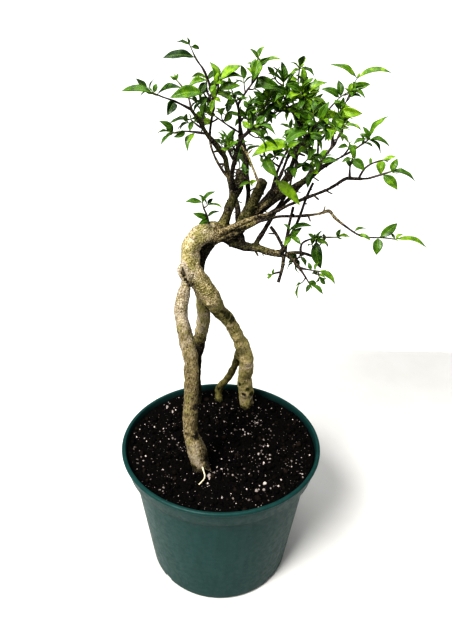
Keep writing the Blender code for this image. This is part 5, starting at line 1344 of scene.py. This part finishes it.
class Paint:
    """A material's nodes, with short calls to add and join them."""

    def __init__(self, name):
        self.material = bpy.data.materials.new(name)
        self.material.use_nodes = True
        self.tree = self.material.node_tree
        self.shader = self.tree.nodes["Principled BSDF"]

    def put(self, socket, value):
        if hasattr(value, "is_output"):
            self.tree.links.new(value, socket)
        else:
            socket.default_value = (*value, 1.0) if socket.type == "RGBA" else value

    def node(self, kind, inputs, **settings):
        node = self.tree.nodes.new(kind)
        for key, value in settings.items():
            setattr(node, key, value)
        for key, value in inputs.items():
            self.put(node.inputs[key], value)
        return node

    def set(self, **inputs):
        for key, value in inputs.items():
            self.put(self.shader.inputs[key.replace("_", " ")], value)

    def place(self, stretch=(1, 1, 1)):
        """Where a point is, in millimetres, divided by the stretch."""
        spot = self.node("ShaderNodeTexCoord", {}).outputs["Object"]
        scale = tuple(1000 / s for s in stretch)
        return self.node("ShaderNodeMapping", {"Vector": spot, "Scale": scale}).outputs["Vector"]

    def look(self):
        """The four numbers of a point: red, green, blue and alpha."""
        node = self.node("ShaderNodeAttribute", {}, attribute_name="look")
        parts = self.node("ShaderNodeSeparateColor", {"Color": node.outputs["Color"]}).outputs
        return parts["Red"], parts["Green"], parts["Blue"], node.outputs["Alpha"]

    def noise(self, where, size, detail=4.0, roughness=0.55):
        inputs = {"Vector": where, "Scale": 1 / size, "Detail": detail, "Roughness": roughness}
        return self.node("ShaderNodeTexNoise", inputs).outputs["Fac"]

    def cells(self, where, size, feature="DISTANCE_TO_EDGE"):
        node = self.node("ShaderNodeTexVoronoi", {"Vector": where, "Scale": 1 / size}, feature=feature)
        return node.outputs["Distance"]

    def math(self, operation, a, b=0.0, c=0.0, clamp=False):
        node = self.node("ShaderNodeMath", {}, operation=operation, use_clamp=clamp)
        for socket, value in zip(node.inputs, (a, b, c)):
            self.put(socket, value)
        return node.outputs[0]

    def plus(self, a, b):
        return self.math("ADD", a, b)

    def minus(self, a, b):
        return self.math("SUBTRACT", a, b)

    def times(self, a, b):
        return self.math("MULTIPLY", a, b)

    def ramp(self, value, low, high, to_low=0.0, to_high=1.0):
        """A value spread from one range to another, smoothly and within it."""
        inputs = {"Value": value, "From Min": low, "From Max": high, "To Min": to_low, "To Max": to_high}
        return self.node("ShaderNodeMapRange", inputs, interpolation_type="SMOOTHSTEP").outputs["Result"]

    def mix(self, share, a, b, blend="MIX"):
        node = self.node("ShaderNodeMix", {}, data_type="RGBA", blend_type=blend)
        self.put(node.inputs[0], share)
        self.put(node.inputs[6], a)
        self.put(node.inputs[7], b)
        return node.outputs[2]

    def bump(self, height, distance, strength=1.0, normal=None):
        inputs = {"Height": height, "Distance": distance * MM, "Strength": strength}
        if normal is not None:
            inputs["Normal"] = normal
        return self.node("ShaderNodeBump", inputs).outputs["Normal"]


def bark_material():
    """Pale root bark, fibrous on the roots and plated on the trunk's bend, that turns into dark limb bark
    with olive and mauve patches, dark cracks and painted shade in its crevices and under it, painted light on
    the pale roots and painted cream highlights."""
    paint = Paint("knobby bark")
    # crack also carries painted shade under the wood and between limbs, and cream also carries painted
    # highlights
    tone, crack, cream, olive = paint.look()
    where = paint.place()
    tall = paint.place((1, 1, 3))
    height = paint.node("ShaderNodeSeparateXYZ", {"Vector": where}).outputs["Z"]
    bend = paint.ramp(height, *BEND_HEIGHTS)
    fibres = paint.noise(paint.place((1, 1, 5)), 0.9, 3, 0.75)
    plates = paint.ramp(paint.cells(where, 2.3), 0.0, 0.22, 0.40, 0.60)
    plates = paint.plus(plates, paint.ramp(paint.noise(where, 1.2, 4, 0.65), 0.3, 0.7, -0.16, 0.16))
    grain = paint.math("MULTIPLY_ADD", paint.minus(plates, fibres), bend, fibres)
    low, high = paint.ramp(grain, 0.34, 0.47), paint.ramp(grain, 0.50, 0.68)
    grey = paint.minus(paint.noise(where, 12, 3), paint.times(olive, 0.3))
    patches = paint.ramp(grey, 0.28, 0.50)
    shade = paint.ramp(paint.noise(where, 7, 4, 0.6), 0.35, 0.62)
    middle = paint.mix(patches, (0.345, 0.295, 0.175), (0.375, 0.320, 0.265))
    pale = paint.mix(low, (0.125, 0.098, 0.040), middle)
    pale = paint.mix(high, pale, (0.60, 0.54, 0.42))
    pale = paint.mix(paint.times(shade, 0.35), pale, (0.190, 0.155, 0.080))
    # Painted light: a tone below 0 brightens the pale bark, up to about twice at -0.6, to lift roots that lie
    # in shade
    bright = paint.ramp(tone, -0.6, 0.0, 1.0, 0.0)
    pale = paint.mix(bright, pale, (2.00, 1.92, 1.68), "MULTIPLY")
    tan = paint.mix(low, (0.032, 0.024, 0.011), (0.165, 0.132, 0.066))
    tan = paint.mix(high, tan, (0.40, 0.34, 0.20))
    dark = paint.mix(low, (0.004, 0.0035, 0.003), (0.020, 0.016, 0.012))
    dark = paint.mix(high, dark, (0.105, 0.086, 0.066))
    part = paint.plus(tone, paint.ramp(shade, 0, 1, 0.14, -0.1))
    wood = paint.mix(paint.ramp(part, 0.1, 0.45), pale, tan)
    wood = paint.mix(paint.ramp(part, 0.45, 0.85), wood, dark)
    coverage = paint.plus(paint.noise(where, 9, 4), paint.times(olive, 0.3))
    coverage = paint.minus(coverage, paint.times(bend, 0.05))
    moss = paint.mix(low, (0.050, 0.048, 0.009), (0.26, 0.24, 0.075))
    dark_moss = paint.mix(low, (0.010, 0.011, 0.002), (0.066, 0.068, 0.020))
    moss = paint.mix(paint.ramp(part, 0.2, 0.75), moss, dark_moss)
    wood = paint.mix(paint.times(paint.ramp(coverage, 0.52, 0.72), 0.7), wood, moss)
    pits = paint.times(paint.ramp(paint.cells(where, 4.2, "F1"), 0.14, 0.26, 1.0, 0.0),
                      paint.ramp(paint.noise(where, 10, 2), 0.42, 0.55))
    pits = paint.times(pits, paint.ramp(bend, 0, 1, 0.9, 0.0))
    wood = paint.mix(pits, wood, (0.012, 0.009, 0.005))
    # Dark cracks, and painted shade under the wood and in the crevices between limbs
    crack_and_shade = paint.mix(paint.ramp(part, 0.2, 0.7), (0.030, 0.022, 0.009), (0.004, 0.003, 0.002))
    wood = paint.mix(paint.times(paint.ramp(crack, 0.25, 0.9), 0.88), wood, crack_and_shade)
    # Cream: the feeder root's own colour, and painted highlights on the bark
    wood = paint.mix(cream, wood, (0.72, 0.62, 0.45))
    paint.set(Base_Color=wood, Roughness=paint.ramp(grain, 0.3, 0.7, 0.85, 0.6), Specular_IOR_Level=0.12)
    relief = paint.plus(grain, paint.times(paint.noise(tall, 0.6, 4), 0.4))
    paint.set(Normal=paint.bump(relief, 1.1, 1.0))
    return paint.material


def twig_material():
    """A thin purplish brown twig, green where it is young."""
    paint = Paint("twig bark")
    share = paint.look()[1]
    where = paint.place()
    flecks = paint.ramp(paint.noise(where, 0.9, 4), 0.35, 0.7)
    old = paint.mix(flecks, (0.007, 0.005, 0.005), (0.075, 0.052, 0.044))
    young = paint.mix(flecks, (0.050, 0.056, 0.013), (0.100, 0.125, 0.025))
    paint.set(Base_Color=paint.mix(paint.ramp(share, 0.6, 1.0), old, young), Roughness=0.6)
    paint.set(Specular_IOR_Level=0.3, Normal=paint.bump(paint.noise(where, 0.5, 3), 0.12, 0.7))
    return paint.material


def leaf_material():
    """A glossy leaf with a pale midrib and side veins, from deep green when old to lime when young."""
    paint = Paint("leaf blade")
    across_it, along_it, hue, under = paint.look()
    off = paint.math("ABSOLUTE", paint.math("MULTIPLY_ADD", across_it, 2.0, -1.0))
    rib = paint.ramp(off, 0.03, 0.11, 1.0, 0.0)
    sweep = paint.minus(paint.times(along_it, 8.0), paint.times(off, 1.5))
    stripe = paint.math("ABSOLUTE", paint.minus(paint.math("FRACT", sweep), 0.5))
    veins = paint.times(paint.ramp(stripe, 0.0, 0.12, 1.0, 0.0), paint.ramp(off, 0.7, 1.0, 1.0, 0.2))
    where = paint.place()
    blotch = paint.ramp(paint.noise(where, 5, 3), 0.3, 0.7, -0.22, 0.22)
    age = paint.math("ADD", hue, blotch, clamp=True)
    green = paint.mix(paint.ramp(age, 0.0, 0.45), (0.005, 0.024, 0.0012), (0.046, 0.110, 0.006))
    green = paint.mix(paint.ramp(age, 0.45, 1.0), green, (0.185, 0.300, 0.010))
    green = paint.mix(paint.times(veins, 0.14), green, (0.150, 0.250, 0.035))
    green = paint.mix(paint.times(rib, 0.4), green, (0.190, 0.290, 0.050))
    green = paint.mix(paint.times(under, 0.3), green, (0.110, 0.190, 0.045))
    ridge = paint.plus(paint.times(rib, -1.0), paint.times(veins, -0.45))
    paint.set(Base_Color=green, Roughness=paint.ramp(paint.noise(where, 3, 3), 0.3, 0.7, 0.27, 0.40))
    paint.set(Specular_IOR_Level=0.2, Subsurface_Weight=0.15, Subsurface_Radius=(0.45, 0.6, 0.1))
    paint.set(Subsurface_Scale=MM, Normal=paint.bump(ridge, 0.18, 0.7))
    return paint.material


def soil_material():
    paint = Paint("peat mix")
    shade = paint.look()[0]
    where = paint.place()
    grain = paint.ramp(paint.noise(where, 1.2, 5), 0.3, 0.72)
    dark = paint.mix(grain, (0.0016, 0.0015, 0.0015), (0.0078, 0.0068, 0.0062))
    paint.set(Base_Color=paint.mix(paint.ramp(shade, 0.6, 1.0, 0.0, 0.6), dark, (0.026, 0.019, 0.014)))
    paint.set(Roughness=0.9, Specular_IOR_Level=0.04, Normal=paint.bump(paint.noise(where, 0.6, 5), 0.5, 0.9))
    return paint.material


def perlite_material():
    paint = Paint("perlite")
    shade = paint.look()[0]
    where = paint.place()
    dust = paint.ramp(paint.noise(where, 1.0, 4), 0.45, 0.75)
    white = paint.mix(shade, (0.080, 0.064, 0.057), (0.56, 0.49, 0.45))
    paint.set(Base_Color=paint.mix(paint.times(dust, 0.55), white, (0.060, 0.045, 0.036)))
    paint.set(Roughness=0.9, Normal=paint.bump(paint.noise(where, 0.5, 4), 0.25, 0.8))
    return paint.material


def plastic_material():
    """Thin satin plastic, a little uneven, with fine dust and scuffs."""
    paint = Paint("green pot plastic")
    where = paint.place()
    streaks = paint.ramp(paint.noise(paint.place((1, 1, 6)), 7, 4), 0.3, 0.7)
    green = paint.mix(streaks, (0.0070, 0.038, 0.0345), (0.0105, 0.046, 0.0425))
    specks = paint.ramp(paint.noise(where, 0.8, 5, 0.7), 0.66, 0.78)
    green = paint.mix(paint.times(specks, 0.22), green, (0.08, 0.10, 0.09))
    x, y, z = paint.node("ShaderNodeSeparateXYZ", {"Vector": where}).outputs
    reach = paint.math("SQRT", paint.math("MULTIPLY_ADD", x, x, paint.times(y, y)))
    slant = paint.math("MULTIPLY_ADD", z, -BAND_SLANT, reach)
    # The inner wall above the soil is darkened, most of all near the soil
    inside = paint.times(paint.ramp(slant, *INNER_WALL, 1.0, 0.0), paint.ramp(z, 132.6, 133.4))
    inner_dark = paint.times(inside, paint.ramp(z, 143, 151, 0.85, 0.25))
    green = paint.mix(inner_dark, green, (0.004, 0.006, 0.005))
    paint.set(Base_Color=green, Roughness=paint.ramp(paint.noise(where, 5, 4), 0.3, 0.7, 0.38, 0.5))
    paint.set(Specular_IOR_Level=0.16)
    paint.set(Normal=paint.bump(paint.plus(paint.noise(where, 14, 2), paint.noise(where, 0.7, 3)), 0.12, 0.5))
    return paint.material


def stage_material():
    paint = Paint("pale studio paper")
    where = paint.place()
    soft = paint.ramp(paint.noise(where, 60, 3), 0.3, 0.7)
    paint.set(Base_Color=paint.mix(soft, (0.61, 0.605, 0.585), (0.63, 0.625, 0.61)), Roughness=0.9)
    paint.set(Specular_IOR_Level=0.2)
    return paint.material


# Studio


def make_stage(paper):
    """A wide pale table, whose back edge the white backdrop takes over from."""
    points = [(x, y, 0.0) for y in TABLE_ENDS for x in (-TABLE_REACH, TABLE_REACH)]
    shape = Shape()
    shape.add(points, [(0, 1, 3, 2)], (0, 0, 0, 0))
    shape.make("studio_sheet", [paper])


def make_light(name, place, target, size, power, tint):
    data = bpy.data.lights.new(name, "AREA")
    data.shape = "DISK"
    data.size = size
    data.energy = power
    data.color = tint
    light = bpy.data.objects.new(name, data)
    light.location = place
    light.rotation_euler = (Vector(target) - Vector(place)).to_track_quat("-Z", "Y").to_euler()
    bpy.context.scene.collection.objects.link(light)


def make_room():
    """A dim room light, and a white backdrop behind the table."""
    world = bpy.data.worlds.new("studio")
    world.use_nodes = True
    nodes, links = world.node_tree.nodes, world.node_tree.links
    strength = nodes.new("ShaderNodeMapRange")
    strength.inputs["To Min"].default_value = ROOM_LIGHT
    strength.inputs["To Max"].default_value = BACKDROP
    links.new(nodes.new("ShaderNodeLightPath").outputs["Is Camera Ray"], strength.inputs["Value"])
    links.new(strength.outputs["Result"], nodes["Background"].inputs["Strength"])
    nodes["Background"].inputs["Color"].default_value = (1, 1, 1, 1)
    bpy.context.scene.world = world


def make_lights():
    for name, settings in LIGHTS.items():
        make_light(name, *settings)
    make_room()
    bpy.context.scene.view_settings.view_transform = "Standard"
    bpy.context.scene.view_settings.look = "High Contrast"


def make_camera():
    pitch, roll = math.radians(PITCH_DOWN), math.radians(ROLL)
    forward = Vector((0, math.cos(pitch), -math.sin(pitch)))
    level = Vector((1, 0, 0))
    upward = level.cross(forward)
    right = level * math.cos(roll) + upward * math.sin(roll)
    upward = upward * math.cos(roll) - level * math.sin(roll)
    data = bpy.data.cameras.new("camera")
    data.lens = LENS
    data.clip_start = 0.01
    camera = bpy.data.objects.new("camera", data)
    turn = Matrix((right, upward, -forward)).transposed().to_4x4()
    camera.matrix_world = Matrix.Translation(Vector(EYE) * MM) @ turn
    bpy.context.scene.collection.objects.link(camera)
    bpy.context.scene.camera = camera


def main():
    for thing in list(bpy.data.objects):
        bpy.data.objects.remove(thing)
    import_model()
    make_camera()
    make_pot(plastic_material())
    make_soil(soil_material(), perlite_material())
    make_wood(bark_material())
    make_shoots(twig_material(), leaf_material())
    make_stage(stage_material())
    make_lights()


main()
